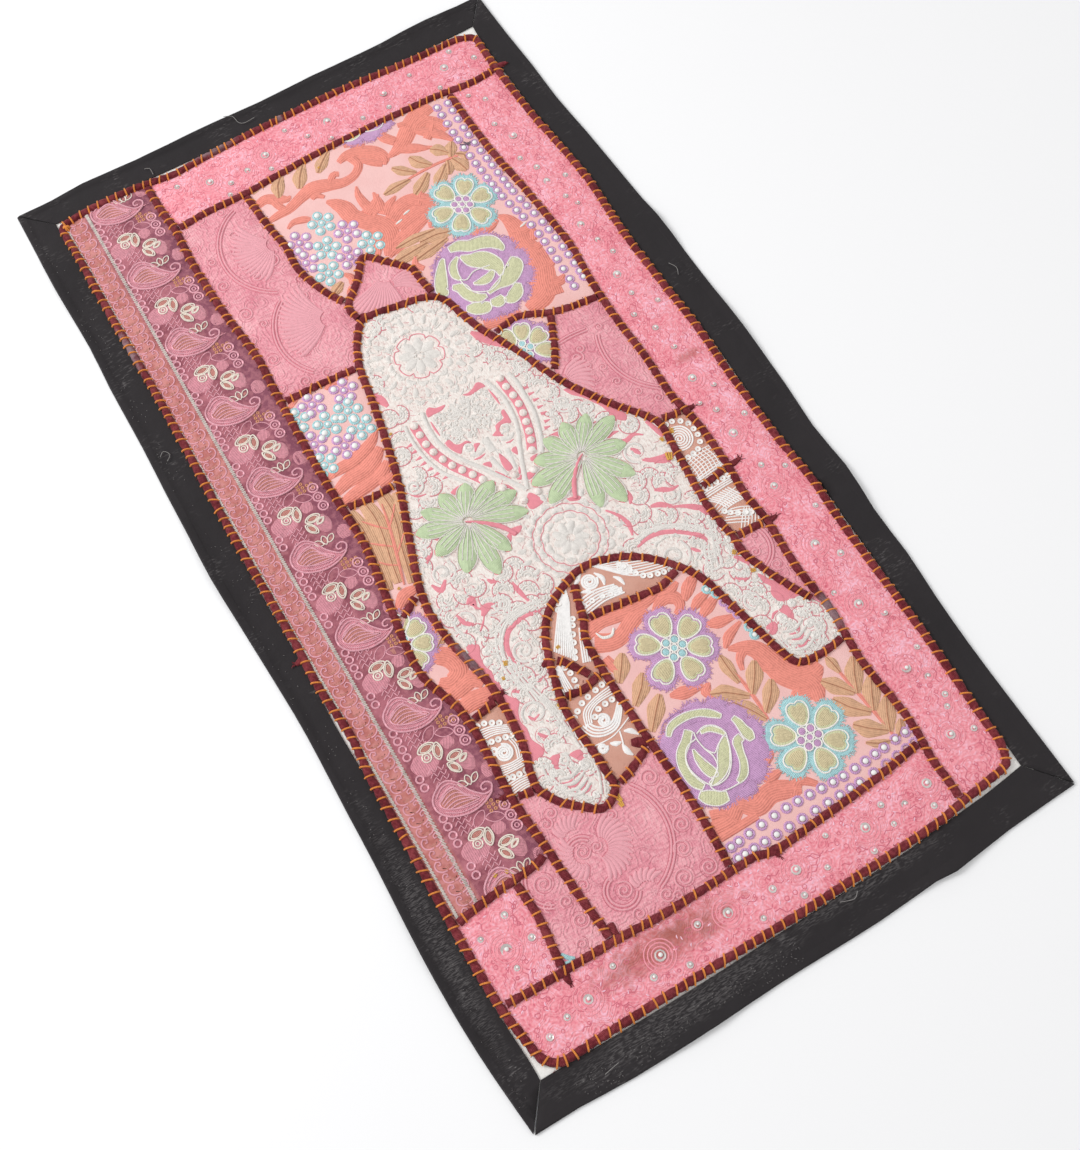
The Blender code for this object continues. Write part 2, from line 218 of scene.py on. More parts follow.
def new_piece(name, shape, material):
    mesh = bpy.data.meshes.new(name)
    shape.to_mesh(mesh)
    shape.free()
    mesh.materials.append(material)
    return linked(name, mesh)


def grid_cuts(piece, cell):
    """Cuts the piece across by planes about a cell apart along X and Y, so that it can take puckers."""
    corners = [Vector(corner) for corner in piece.bound_box]
    bpy.ops.object.mode_set(mode="EDIT")
    for axis in (0, 1):
        low, high = min(c[axis] for c in corners), max(c[axis] for c in corners)
        normal = Vector((axis == 0, axis == 1, 0))
        cuts = int((high - low) / (cell * MM))
        for i in range(1, cuts + 1):
            bpy.ops.mesh.select_all(action="SELECT")
            bpy.ops.mesh.bisect(plane_co=normal * (low + i * (high - low) / (cuts + 1)), plane_no=normal)
    bpy.ops.object.mode_set(mode="OBJECT")


def finished(piece, degrees):
    """Shades a piece smooth up to an angle, and gives it its body."""
    only_select(piece)
    bpy.ops.object.shade_smooth()
    bpy.ops.object.shade_smooth_by_angle(angle=math.radians(degrees))
    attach(piece, "root")
    return piece


def cloth_sheet(node, name, material, cell, height, thick):
    """A thin sheet cut to the outline of a solid's top face, with its points raised by a height function."""
    shape = top_face(node)
    bmesh.ops.dissolve_limit(shape, angle_limit=0.01, verts=shape.verts, edges=shape.edges)
    piece = new_piece(name, shape, material)
    grid_cuts(piece, cell)
    for v in piece.data.vertices:
        v.co.z = height(*on_plan(v.co)) * MM
    solid = piece.modifiers.new("thickness", "SOLIDIFY")
    solid.thickness = thick * MM
    solid.offset = -1
    only_select(piece)
    bpy.ops.object.modifier_apply(modifier=solid.name)
    finished(piece, 50)
    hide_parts(node)
    return piece


cotton = Surface("white_cotton", 0.9, sheen=0.2)
white_cotton = cotton.finish(
    cotton.mixed(cotton.noise(60), dye(244, 242, 237), dye(253, 252, 249)),
    height=cotton.bands("X", 0.8) * cotton.bands("Y", 0.8) * 0.7 + cotton.noise(14) * 0.6,
    depth=0.25,
)


def ground_height(x, y):
    return GROUND_THICK + 0.12 + 0.1 * noise.noise(Vector((x / 40, y / 40, 0)))


cloth_sheet(
    "ground_cloth", "ground_sheet", white_cotton, GROUND_CELL, ground_height,
    GROUND_THICK,
)

# The border is black cotton, folded double over the edge of the ground cloth with a rolled hem outside, and
# mitred at the corners. It is a little creased, and pale lint has caught on it. Along parts of the lower and
# left sides its weave is painted lighter in a fine hatch, as painted sheen.
BORDER_CELL = 12
CREASE = 0.3

lint_and_sheen = Surface("black_cotton", 0.85, sheen=0.02)
slub = lint_and_sheen.bands("X", 0.9, wander=2.5) * lint_and_sheen.bands("Y", 0.9, wander=2.5)
worn = lint_and_sheen.ramp(lint_and_sheen.noise(40, 3.0), (0.52, 0.0), (0.70, 1.0))
caught = lint_and_sheen.ramp(lint_and_sheen.noise(1.5, 2.0, stretch=(4, 1)), (0.55, 0.0), (0.75, 1.0))
black = lint_and_sheen.mixed(lint_and_sheen.noise(70), dye(37, 34, 36), dye(48, 44, 46))
hatch = lint_and_sheen.ramp(lint_and_sheen.noise(0.8, 2.0, stretch=(6, 1)), (0.48, 0.0), (0.6, 1.0))
# Patches along the lower and left sides where the weave gets a fine lighter hatch: painted sheen.
SHEEN_PATCHES = ((-120, -482, 130, 16), (-262, -330, 12, 130), (60, -476, 90, 10))
weave_sheen = 0
for x, y, wide, long in SHEEN_PATCHES:
    reach = lint_and_sheen.apart(x, y, wide, long) * 0.5 + lint_and_sheen.noise(12, 3.0) * 0.5
    weave_sheen = lint_and_sheen.ramp(reach, (0.45, 1.0), (0.8, 0.0)) + weave_sheen
# Pale grey is mixed in for caught lint, and in the patches above as painted sheen on the weave.
black_cotton = lint_and_sheen.finish(
    lint_and_sheen.mixed(worn * caught * 0.6 + weave_sheen * hatch * 0.4 + slub * 0.05, black, dye(120, 116, 116)),
    height=slub * 0.3 + lint_and_sheen.noise(9, 3.0) + lint_and_sheen.noise(30, 2.0) * 4,
    depth=0.6,
)


def creased(x, y):
    return noise.noise(Vector((x / 30, y / 30, 5))) + 0.5 * noise.noise(Vector((x / 11, y / 11, 9)))


for side in ("left", "right", "top", "bottom"):
    strip = new_piece(f"black_{side}", merged_copy(f"border_{side}"), black_cotton)
    edit_all()
    bpy.ops.mesh.tris_convert_to_quads()
    bpy.ops.object.mode_set(mode="OBJECT")
    grid_cuts(strip, BORDER_CELL)
    for v in strip.data.vertices:
        if v.normal.z > 0.3:
            v.co.z += CREASE * (creased(*on_plan(v.co)) + 0.4) * MM
    finished(strip, 40)
    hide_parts(f"border_{side}")
    narrow, wide = sorted(strip.dimensions[:2])

# The sari strip is a woven border cut from old cloth: sheer mauve, a salmon band, pink thread paisleys and
# scrolls, grey twisted cords between. Every patch is pulled down at its seams and puffs up a little between.
SEAM_STEP = 2.5
CLOTH_LEVEL = 2.3
CLOTH_CELL = 6
CLOTH_THICK = 0.7
PUFF = 1.1
PUFF_WIDTH = 15
SARI_REPEAT = 86.5
SARI_FIRST = 456
SARI_REPEATS = 10


def smooth_line(bends, step, closed=False):
    """Points about a step apart on a smooth line through bends, which may carry more than two numbers."""
    count = len(bends)
    line = []
    for i in range(count if closed else count - 1):
        a, b, c, d = (
            bends[(i + k) % count if closed else min(max(i + k, 0), count - 1)] for k in (-1, 0, 1, 2)
        )
        parts = max(1, round(math.dist(b[:2], c[:2]) / step))
        for j in range(parts):
            t = j / parts
            line.append(tuple(
                0.5 * (
                    2 * q + (r - p) * t + (2 * p - 5 * q + 4 * r - s) * t**2 + (3 * q - p - 3 * r + s) * t**3
                )
                for p, q, r, s in zip(a, b, c, d)
            ))
    if not closed:
        line.append(tuple(bends[-1]))
    return line


def walked(near):
    """The points of a chain in order, from one of its ends if it has any, and whether it has none."""
    ends = [v for v, beside in near.items() if len(beside) == 1]
    start = min(ends or near, key=lambda v: (v.co.x, v.co.y))
    walk, last, here = [start], None, start
    while True:
        ahead = [v for v in near[here] if v is not last and v is not start]
        if not ahead:
            break
        last, here = here, ahead[0]
        walk.append(here)
    return [on_plan(v.co) for v in walk], not ends


def ridge_line(node):
    """The line of a cord's top ridge on the plan, which is the seam that it covers."""
    shape = merged_copy(node)
    top = max(v.co.z for v in shape.verts) - 0.1 * MM
    high = [v for v in shape.verts if v.co.z > top]
    ridge, is_loop = walked(
        {v: [e.other_vert(v) for e in v.link_edges if e.other_vert(v) in high] for v in high},
    )
    shape.free()
    return smooth_line(ridge, SEAM_STEP, is_loop), is_loop


def outline(node):
    """The corners round a patch's top face."""
    shape = top_face(node)
    rim = {v: [e.other_vert(v) for e in v.link_edges if e.is_boundary] for v in shape.verts if v.is_boundary}
    corners, _ = walked(rim)
    shape.free()
    return corners


seams = {node: ridge_line(node) for node in sorted(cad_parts) if node.startswith("cord_")}
outlines = {node: outline(node) for node in sorted(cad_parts) if node.startswith("patch_")}
seam_tree = kdtree.KDTree(sum(len(line) for line, _ in seams.values()))
for line, _ in seams.values():
    for x, y in line:
        seam_tree.insert((x, y, 0), 0)
seam_tree.balance()


def face_height(x, y):
    """How high the face of the patches stands: down at the seams, up and softly puckered between them."""
    share = min(seam_tree.find((x, y, 0))[2] / PUFF_WIDTH, 1)
    slow = noise.noise(Vector((x / 55, y / 55, 3.1)))
    quick = noise.noise(Vector((x / 17, y / 17, 7.7)))
    return CLOTH_LEVEL + PUFF * share * share * (3 - 2 * share) + share * (0.55 * slow + 0.35 * quick)


def patch_sheet(name, material):
    return cloth_sheet(
        f"patch_{name}", f"cloth_{name}", material, CLOTH_CELL, face_height, CLOTH_THICK,
    )


def extent(corners):
    """The lowest and highest x of some corners, and then of y."""
    return [(min(side), max(side)) for side in zip(*corners)]


def inside(corners, x, y):
    """Whether a place lies inside an outline."""
    within = False
    for (x0, y0), (x1, y1) in zip(corners, corners[1:] + corners[:1]):
        if (y0 > y) != (y1 > y) and x < x0 + (y - y0) * (x1 - x0) / (y1 - y0):
            within = not within
    return within


def cut(strokes, is_kept):
    """The parts of strokes where a test of x and y says yes."""
    kept = []
    for line, closed in strokes:
        on = [is_kept(point[0], point[1]) for point in line]
        if all(on):
            kept.append((line, closed))
            continue
        if closed and any(on):
            turn = on.index(False)
            line, on = line[turn:] + line[:turn], on[turn:] + on[:turn]
        run = []
        for point, is_on in zip(line + [None], on + [False]):
            if is_on:
                run.append(point)
            else:
                if len(run) > 1:
                    kept.append((run, False))
                run = []
    return kept


def trimmed(strokes, patch):
    """The parts of strokes that lie on a patch: what is cut off ends under the cord of the seam."""
    return cut(strokes, lambda x, y: inside(outlines[f"patch_{patch}"], x, y))


# Stitches are laid on the cloth as strokes. A stroke is points of (x, y, half width, lift), and whether it
# closes on itself. THREAD, SATIN and ROWS are the cross sections of a single thread, of a band of satin
# stitch, and of rows of chain stitch worked side by side.
THREAD = ((-1, -0.3), (-0.6, 0.75), (0.6, 0.75), (1, -0.3))
SATIN = ((-1, -0.35), (-0.75, 0.6), (0, 1), (0.75, 0.6), (1, -0.35))
ROWS = ((-1, -0.4), (-0.88, 0.7), (0, 1), (0.88, 0.7), (1, -0.4))
SLANT = 0.3
WIDE = 2.5


def stroke(bends, half=None, step=2.2, closed=False, lift=0.0):
    """A stroke through bends of (x, y) or (x, y, half width)."""
    points = [(*bend, half, lift) if len(bend) == 2 else (*bend, lift) for bend in bends]
    return smooth_line(points, step, closed), closed


def away(x, y, reach, angle):
    """The place at a reach from another, in a direction given in radians."""
    return (x + reach * math.cos(angle), y + reach * math.sin(angle))


def ring(x, y, radius, half, count=10, lift=0.0):
    return [(*away(x, y, radius, 2 * math.pi * i / count), half, lift) for i in range(count)], True


def put(corners, x, y, turn=0.0, size=1.0, mirror=False):
    """Corners drawn round (0, 0) moved to a place, turned by degrees, sized and mirrored left to right."""
    c, s = math.cos(math.radians(turn)), math.sin(math.radians(turn))
    flip = -1 if mirror else 1
    return [(x + size * (flip * px * c - py * s), y + size * (flip * px * s + py * c)) for px, py in corners]


def placed(strokes, x, y, turn=0.0, size=1.0, mirror=False):
    """Strokes moved as put() moves corners."""
    moved = []
    for line, closed in strokes:
        spots = put([point[:2] for point in line], x, y, turn, size, mirror)
        moved.append(([(*spot, half * size, lift) for spot, (_, _, half, lift) in zip(spots, line)], closed))
    return moved


def laid(name, strokes, material, slot, profile=THREAD, loft=1.0, pitch=1.0, lengthways=False):
    """One piece of many strokes, no higher than loft. Its attribute "thread" counts threads in a stroke."""
    former = linked("former", bpy.data.curves.new("former", "CURVE"))
    former.data.dimensions = "2D"
    section = former.data.splines.new("POLY")
    section.points.add(len(profile) - 1)
    section.use_cyclic_u = True
    for point, (u, v) in zip(section.points, profile):
        point.co = (u * MM, v * MM, 0, 1)
    curve = bpy.data.curves.new(name, "CURVE")
    curve.dimensions = "3D"
    curve.twist_mode = "Z_UP"
    curve.bevel_mode = "OBJECT"
    curve.bevel_object = former
    curve.use_fill_caps = True
    rings, cap_rings = [], []
    for line, closed in strokes:
        spline = curve.splines.new("POLY")
        spline.points.add(len(line) - 1)
        spline.use_cyclic_u = closed
        travel = [0.0]
        for a, b in zip(line, line[1:]):
            travel.append(travel[-1] + math.dist(a[:2], b[:2]))
        if not closed:
            cap_rings = [len(rings) + len(line) - 1, len(rings)] + cap_rings
        for point, along, (x, y, half, lift) in zip(spline.points, travel, line):
            level = face_height(x, y)
            point.co = (*in_frame(x, y, level + lift), 1)
            point.radius = half
            rings.append((half, min(along, travel[-1] - along) if closed else along, level, lift))
    piece = linked(name, curve)
    bpy.ops.object.convert(target="MESH")
    bpy.data.objects.remove(former)

    # The mesh lists the ends' caps first, from the last stroke to the first, and then ring after ring.
    mesh = piece.data
    corners = len(profile)
    first = corners * len(cap_rings)
    threads = [0.0] * len(mesh.vertices)
    for i, (half, along, level, lift) in enumerate(rings):
        flat = min(1, loft / half)
        for j, (u, _) in enumerate(profile):
            v = mesh.vertices[first + i * corners + j]
            here = face_height(*on_plan(v.co)) if half > WIDE else level
            v.co.z = (here + lift) * MM + (v.co.z - (level + lift) * MM) * flat
            across = u * half
            threads[v.index] = across / pitch if lengthways else (along + SLANT * across) / pitch
    for i, k in enumerate(cap_rings):
        for j in range(corners):
            mesh.vertices[i * corners + j].co = mesh.vertices[first + k * corners + j].co
            threads[i * corners + j] = threads[first + k * corners + j]
    mesh.attributes.new("thread", "FLOAT", "POINT").data.foreach_set("value", threads)
    edit_all()
    bpy.ops.mesh.remove_doubles(threshold=1e-6)
    bpy.ops.object.mode_set(mode="OBJECT")
    mesh.materials.clear()
    mesh.materials.append(material)
    return finished(piece, 60)


# Padded shapes are worked in satin stitch over their whole width. Each is an outline, the turn of its threads
# in degrees, and its lift. They are drawn in twice at the rim, and cut small enough to follow the cloth.
PAD_CELL = 7
PAD_SUNK = 0.35


def padded(name, shapes, material, loft=1.0, pitch=1.3):
    """One piece of many padded shapes. The attribute "thread" counts the threads across each of them."""
    points, faces, turns = [], [], []
    for corners, turn, lift in shapes:
        area = sum(a[0] * b[1] - b[0] * a[1] for a, b in zip(corners, corners[1:] + corners[:1]))
        corners = corners if area > 0 else corners[::-1]
        faces.append(tuple(range(len(points), len(points) + len(corners))))
        points += [in_frame(x, y, lift - PAD_SUNK) for x, y in corners]
        turns += [math.radians(turn)] * len(corners)
    mesh = bpy.data.meshes.new(name)
    mesh.from_pydata(points, [], faces)
    mesh.attributes.new("turn", "FLOAT", "POINT").data.foreach_set("value", turns)
    mesh.materials.append(material)
    piece = linked(name, mesh)
    edit_all()
    bpy.ops.mesh.inset(thickness=0.4 * MM, depth=(PAD_SUNK + 0.6 * loft) * MM, use_individual=True)
    bpy.ops.mesh.inset(thickness=0.9 * MM, depth=0.4 * loft * MM, use_individual=True)
    bpy.ops.object.mode_set(mode="OBJECT")
    grid_cuts(piece, PAD_CELL)
    threads = []
    for v, turn in zip(mesh.vertices, mesh.attributes["turn"].data):
        x, y = on_plan(v.co)
        v.co.z += face_height(x, y) * MM
        threads.append((y * math.cos(turn.value) - x * math.sin(turn.value)) / pitch)
    mesh.attributes.new("thread", "FLOAT", "POINT").data.foreach_set("value", threads)
    return finished(piece, 60)


def kept_on(shapes, patch):
    """The padded shapes of a patch, without what would lie outside it."""
    edge = outlines[f"patch_{patch}"]
    kept = []
    for corners, turn, lift in shapes:
        rim = [corner for corner in corners if inside(edge, *corner)]
        if len(rim) > 3 and len(rim) > 0.25 * len(corners):
            kept.append((rim, turn, lift))
    return kept


def rounded(corners, step=2.2, ragged=0.0):
    """A smooth outline through corners, a little ragged if asked."""
    line = smooth_line(corners, step, closed=True)
    return [(x + random.uniform(-ragged, ragged), y + random.uniform(-ragged, ragged)) for x, y in line]


def swelled(bends, step=2.2):
    """The outline of a shape that swells and narrows along a line of (x, y, half width)."""
    line = smooth_line(bends, step)
    sides = [[], []]
    for i, (x, y, half) in enumerate(line):
        (x0, y0, _), (x1, y1, _) = line[max(i - 1, 0)], line[min(i + 1, len(line) - 1)]
        length = math.dist((x0, y0), (x1, y1)) or 1
        for side, out in zip(sides, (1, -1)):
            side.append((x - out * half * (y1 - y0) / length, y + out * half * (x1 - x0) / length))
    return sides[0] + sides[1][::-1]


def thread_dye_and_shade(name, colour, shade=0.72, roughness=0.6, sheen=0.15, patchy=12, relief=0.25):
    """Embroidery thread of one colour: its strands show as fine ridges, with painted shade between them and
    in small lumps, and the dye is a little uneven in larger patches.
    """
    yarn = Surface(name, roughness, sheen)
    count = yarn.add("ShaderNodeAttribute", {"attribute_name": "thread"}, out="Fac")
    strand = yarn.math("SINE", count * (2 * math.pi)) * 0.5 + 0.5
    loops = yarn.noise(3.2, 3.0)
    dye_and_shade_tone = yarn.noise(patchy) * 0.45 + loops * 0.95 + strand * 0.3 - 0.27
    # Its darker end, reached between strands and in the small lumps, is painted shade; the larger patches are
    # uneven dye.
    dark = tuple(part * shade * shade for part in colour)
    dyed_and_shaded = yarn.mixed(yarn.ramp(dye_and_shade_tone, (0.25, 0.0), (0.72, 1.0)), dark, colour)
    return yarn.finish(dyed_and_shaded, height=strand + loops * 2, depth=relief)


sari = Surface("sari_cloth", 0.6, sheen=0.1)
spread = sari.add("ShaderNodeSeparateXYZ", None, {0: sari.place}, out="X")
SARI_EDGE = 0.2735
band = sari.ramp(spread + SARI_EDGE, (0.0563, 1.0), (0.0578, 0.0))
shade_side = sari.ramp(spread + SARI_EDGE, (0.085, 0.0), (0.118, 1.0))
sheer = sari.bands("X", 1.1, wander=1.5) * sari.bands("Y", 1.1, wander=1.5)
flecks = sari.ramp(sari.noise(4.5, 3.0), (0.45, 0.0), (0.62, 1.0))
worn = sari.ramp(sari.noise(24), (0.4, 0.0), (0.62, 1.0))
mauve = sari.mixed(shade_side * 0.8, sari.mixed(worn, dye(142, 68, 84), dye(180, 104, 118)), dye(122, 58, 84))
salmon = sari.mixed(sari.ramp(sari.noise(9), (0.4, 0.0), (0.6, 1.0)), dye(188, 108, 100), dye(212, 138, 130))
plain = sari.mixed(flecks * 0.35, sari.mixed(band, mauve, salmon), dye(212, 138, 146))
sari_cloth = sari.finish(
    sari.mixed(sheer * 0.25, plain, dye(226, 174, 178)), height=sheer + sari.noise(5) * 0.6, depth=0.3,
)
patch_sheet("sari_border", sari_cloth)

pink_thread = thread_dye_and_shade("sari_pink_thread", dye(255, 186, 200), shade=0.86, relief=0.4)
blush_thread = thread_dye_and_shade("sari_blush_thread", dye(240, 160, 174), shade=0.82, relief=0.6)
rose_gold_thread = thread_dye_and_shade("sari_rose_gold_thread", dye(214, 142, 132), shade=0.85, relief=0.5)
pale_thread = thread_dye_and_shade("sari_pale_thread", dye(252, 240, 226), shade=0.88)
gold_thread = thread_dye_and_shade("sari_gold_thread", dye(216, 150, 112), shade=0.85)
pinks, pales, golds = [], [], []
blush_pads, gold_pads = [], []
random.seed(31)

# The salmon band carries pairs of small scrolls, mirrored on its middle, over fawn buds.
BAND_MIDDLE = -225.6
BAND_PITCH = 11.1
BAND_TOP = 462
BAND_PAIRS = 74
curl = [(0.8, -4.8), (4.6, -4.2), (7.8, -1.2), (7.9, 3), (5.4, 5.2), (3, 3.9), (3.2, 1.7), (5.2, 1.9)]
scroll = [stroke(curl, 0.75)]
bud = [(0, -3.4), (3.4, -1.6), (4.6, 1.6), (1.6, 0.8), (0, 2.2), (-1.6, 0.8), (-4.6, 1.6), (-3.4, -1.6)]
for i in range(BAND_PAIRS):
    y = BAND_TOP - i * BAND_PITCH
    lean = BAND_MIDDLE - 2.6 * math.sin(math.pi * (BAND_TOP - y) / 800)
    size = 1.08 if i % 2 else 0.94
    pinks += placed(scroll, lean, y, size=size) + placed(scroll, lean, y, size=size, mirror=True)
    gold_pads.append((rounded(put(bud, lean, y - 2), 2), 0, -0.3))

# The wide band carries in each repeat a paisley with a curled tail, two outlined flowers on pink, a sprig of
# three leaves, zigzags, and rings in a column on each side.
paisley = [
    (-22.7, 2.3), (-20, 10), (-10, 17), (-2, 17), (5, 10.5), (10, 1), (16, -6), (21, -9.5), (27, -9.4),
    (18, -14.7), (6.8, -17), (-3.4, -15.9), (-14.7, -11.3), (-21, -4.5),
]
paisley_leaf = [
    (-17.5, 2), (-13, 7.5), (-4, 10), (1, 8), (5.5, -0.5), (15, -9.5), (4, -9.5), (-9, -7), (-16, -2.5),
]
paisley_rims = [
    stroke(paisley, 0.9, closed=True, lift=0.75), stroke(paisley_leaf, 0.7, closed=True, lift=0.75),
    stroke([(-15, 5), (-6, 10.5), (1, 10)], 0.6, lift=0.8),
    stroke([(-12, -6), (0, -10.5), (12, -12)], 0.6, lift=0.8),
    stroke([(-17, -6), (-6, -12.5), (8, -14.4), (18, -12.5)], 0.6, lift=0.8),
    stroke([(-18, 8), (-10, 13.6), (-2, 14), (3.5, 9)], 0.6, lift=0.8),
    stroke([(19, -9), (26.5, -9), (29.5, -3.5), (25.5, 0), (20.6, -1.4), (20.4, -5.2), (24, -5.6)], 1.0),
]
for bends in (
    [(-16, 3.5), (-8, 7.6), (0, 7.6), (4.6, 1.2)], [(-15.5, 1.2), (-7, 4.6), (1, 3.6), (7, -3.4)],
    [(-15, -1.2), (-6, 1.4), (3, -0.6), (10, -6)], [(-14, -3.6), (-5, -2), (4, -4), (12, -8)],
    [(-12, -5.8), (-3, -5.2), (6, -7), (13, -9)],
):
    paisley_rims.append(stroke(bends, 0.7, lift=0.8))
oval = [(-8, 0), (-4.4, 3.6), (1, 4.2), (6, 2.4), (8.4, -1), (4, -3.6), (-2, -3.9)]
blob = [(-13, 4), (-8, 9), (0, 10), (8, 6), (14, -2), (12, -9), (4, -12), (-5, -12), (-12, -7)]
tuft = [(-7, 2), (-3, 6), (3, 6.4), (7, 3), (7, -3), (3, -6), (-4, -6)]
sprig = [(0, -4), (-3, 0), (-3.4, 5), (0, 9), (3.4, 5), (3, 0)]
zigzag = [stroke([(-7, 0), (-3.5, 4), (-1, 0), (2.5, 4), (5, 0), (8, 3.6)], 0.6, step=3)]
PAISLEY_MIDDLE = -186.7
for i in range(-1, SARI_REPEATS):
    y = SARI_FIRST - 1.5 - i * SARI_REPEAT
    x = PAISLEY_MIDDLE - 1.6 * math.sin(i * 0.33)
    blush_pads.append((rounded(put(paisley, x, y), 2.2, 0.15), 20, -0.1))
    gold_pads.append((rounded(put(paisley_leaf, x, y), 2.2), 35, 0.45))
    pinks += placed(paisley_rims, x, y)
    blush_pads += [
        (rounded(put(blob, x - 11, y + 41, 20, 0.95), 2.2, 0.4), 40, -0.3),
        (rounded(put(blob, x + 22, y + 25, -60, 0.72), 2.2, 0.4), -30, -0.3),
        (rounded(put(tuft, x + 15, y + 46.5, 0, 0.9), 2.2, 0.4), 60, -0.3),
        (rounded(put(tuft, x + 34, y + 8, 70, 1.15), 2.2, 0.3), 0, -0.55),
    ]
    for ox, oy, turn, size in (
        (-4, 51, 8, 1.0), (4, 44, 78, 0.95), (14.5, 33.5, 8, 0.9), (9.5, 24.5, -55, 0.85), (20, 28, 30, 0.55),
    ):
        for share, half, lift in ((1, 0.75, 0.55), (0.7, 0.5, 0.5)):
            rim = put(oval, x + ox, y + oy, turn, size * share)
            pales += [stroke(rim, half, step=1.8, closed=True, lift=lift)]
        gold_pads.append((rounded(put(oval, x + ox, y + oy, turn, size * 0.72), 1.8), turn, 0.0))
    pales += [ring(x - 7, y + 43.5, 4.2, 0.7, 10, 0.55), ring(x - 7, y + 43.5, 2.0, 0.55, 8, 0.55)]
    for turn, ox in ((50, -4.5), (0, 0), (-50, 4.5)):
        pales += [stroke(put(sprig, x + 14 + ox, y + 7, turn, 0.72), 0.55, step=1.8, closed=True, lift=0.3)]
        gold_pads.append((rounded(put(sprig, x + 14 + ox, y + 7, turn, 0.55), 1.8), 90 + turn, -0.3))
    for ox, oy, turn in ((4.5, 61, 40), (17, 56, -20)):
        gold_pads.append((rounded(put(oval, x + ox, y + oy, turn, 0.9), 2), turn, -0.4))
        pinks += [stroke(put(oval, x + ox, y + oy, turn, 1.0), 0.5, closed=True)]
    for oy in (61, 50.5, 40.4):
        pinks += [ring(x + 29.5, y + oy, 4.5, 1.0, 11), ring(x + 29.5, y + oy, 1.9, 0.6, 8)]
    for k in range(4):
        pinks += placed(zigzag, x - 9, y + 69 - 4.6 * k, -12) + placed(zigzag, x - 6, y + 29 - 4.6 * k, -12)
    for oy in (77, 69, 60.5, 52.5, 30, 21.5):
        pinks += [ring(x - 21.5, y + oy, 3.3, 1.0, 9)]
    for k in range(10):
        golds += [ring(x + 17 + 4.4 * (k % 4), y + 62 + 4 * (k // 4), 1.2, 0.75, 6)]
padded("sari_blush_pads", kept_on(blush_pads, "sari_border"), blush_thread, loft=0.6)
padded("sari_gold_pads", kept_on(gold_pads, "sari_border"), rose_gold_thread, loft=0.35)
for name, strokes, thread, loft in (
    ("pink", pinks, pink_thread, 0.9), ("pale", pales, pale_thread, 0.9), ("gold", golds, gold_thread, 0.6),
):
    laid(f"sari_{name}_stitches", trimmed(strokes, "sari_border"), thread, "sari_border", loft=loft)

# Two twisted grey cords edge the salmon band.
TWISTS = (
    ([(-212.5, 467), (-213.5, 300), (-215, 150), (-216.5, 0), (-217, -100), (-218, -220), (-220, -330)], 1.5),
    ([(-236, 455), (-237.4, 300), (-238.6, 100), (-239.6, -60), (-238.6, -200), (-239.6, -330)], 1.2),
)
twists = []
for bends, half in TWISTS:
    rope = smooth_line(bends, 2.9)
    for (x0, y0), (x1, y1) in zip(rope, rope[1:]):
        twists.append(stroke([(x0 - half, y0 + 1.4), (x1 + half, y1 - 1.0)], 0.62, step=1.6, lift=0.35))
grey_thread = thread_dye_and_shade("sari_grey_thread", dye(232, 222, 214), shade=0.7)
laid("sari_cords", trimmed(twists, "sari_border"), grey_thread, "sari_border", loft=0.9)

# The bright pink strips are cut from one cloth quilted all over in vermicelli. Silver sequins are sewn to it,
# each under a bead, and ripples of thread run round the larger ones.
BRIGHT_SEQUINS = {
    "top_strip": [
        (-89, 437, 4), (-78, 413, 2.6), (-71, 425, 3), (-26, 438, 4.2), (-50, 430, 3), (-28, 420, 2.6),
        (22, 437, 3), (48, 443, 4.2), (42, 423, 3), (115, 445, 4), (112, 427, 2.6), (186, 442, 4.4),
        (170, 422, 2.6), (220, 438, 3), (-120, 448, 2.6), (82, 428, 2.6), (150, 452, 2.4), (5, 455, 2.4),
        (201, 458, 3),
    ],
    "right_strip": [
        (195, 353, 3), (204, 331, 4.4), (196, 303, 2.8), (205, 285, 3.2), (205, 265, 3.4), (225, 262, 2.8),
        (212, 240, 2.8), (218, 227, 2.6), (207, 203, 3.8), (212, 179, 2.8), (218, 160, 2.8), (207, 135, 4.2),
        (208, 110, 2.8), (197, 88, 3), (207, 65, 3.2), (211, 38, 3), (207, 0, 4.2), (221, -16, 2.8),
        (198, -26, 3), (208, -40, 3.2), (229, -57, 3), (208, -69, 4.4), (212, -110, 3), (231, -122, 2.6),
        (210, -134, 3.6), (209, -202, 4.4), (224, -221, 3.4), (209, -270, 4.4), (224, -289, 3),
        (210, -341, 4.4), (222, -357, 3), (225, -378, 3), (220, -388, 2.8), (207, -410, 4.2), (228, -416, 3),
        (226, 90, 2.6), (203, 385, 2.8), (190, 398, 2.6), (232, -170, 2.6), (196, -250, 2.6),
        (230, -330, 2.6),
    ],
    "bottom_strip": [
        (-223, -445, 3.2), (-203, -439, 3), (-181, -436, 4.2), (-126, -449, 3.2), (-112, -437, 5),
        (-95, -456, 3), (-72, -432, 3), (-45, -437, 4.4), (-2, -440, 3.4), (24, -437, 4.4), (48, -449, 2.6),
        (18, -458, 3), (90, -458, 3), (95, -438, 4.4), (118, -429, 3), (118, -448, 2.6), (136, -439, 3.2),
        (157, -453, 3), (163, -434, 4.4), (-150, -424, 2.6), (-22, -456, 2.6), (62, -426, 2.6),
    ],
    "corner_bright": [
        (-205, -343, 3.2), (-218, -368, 5), (-195, -370, 3.2), (-218, -385, 2.6), (-232, -350, 2.6),
    ],
}
BIG_SEQUIN = 3.5
SEQUIN_LIFT = 0.55

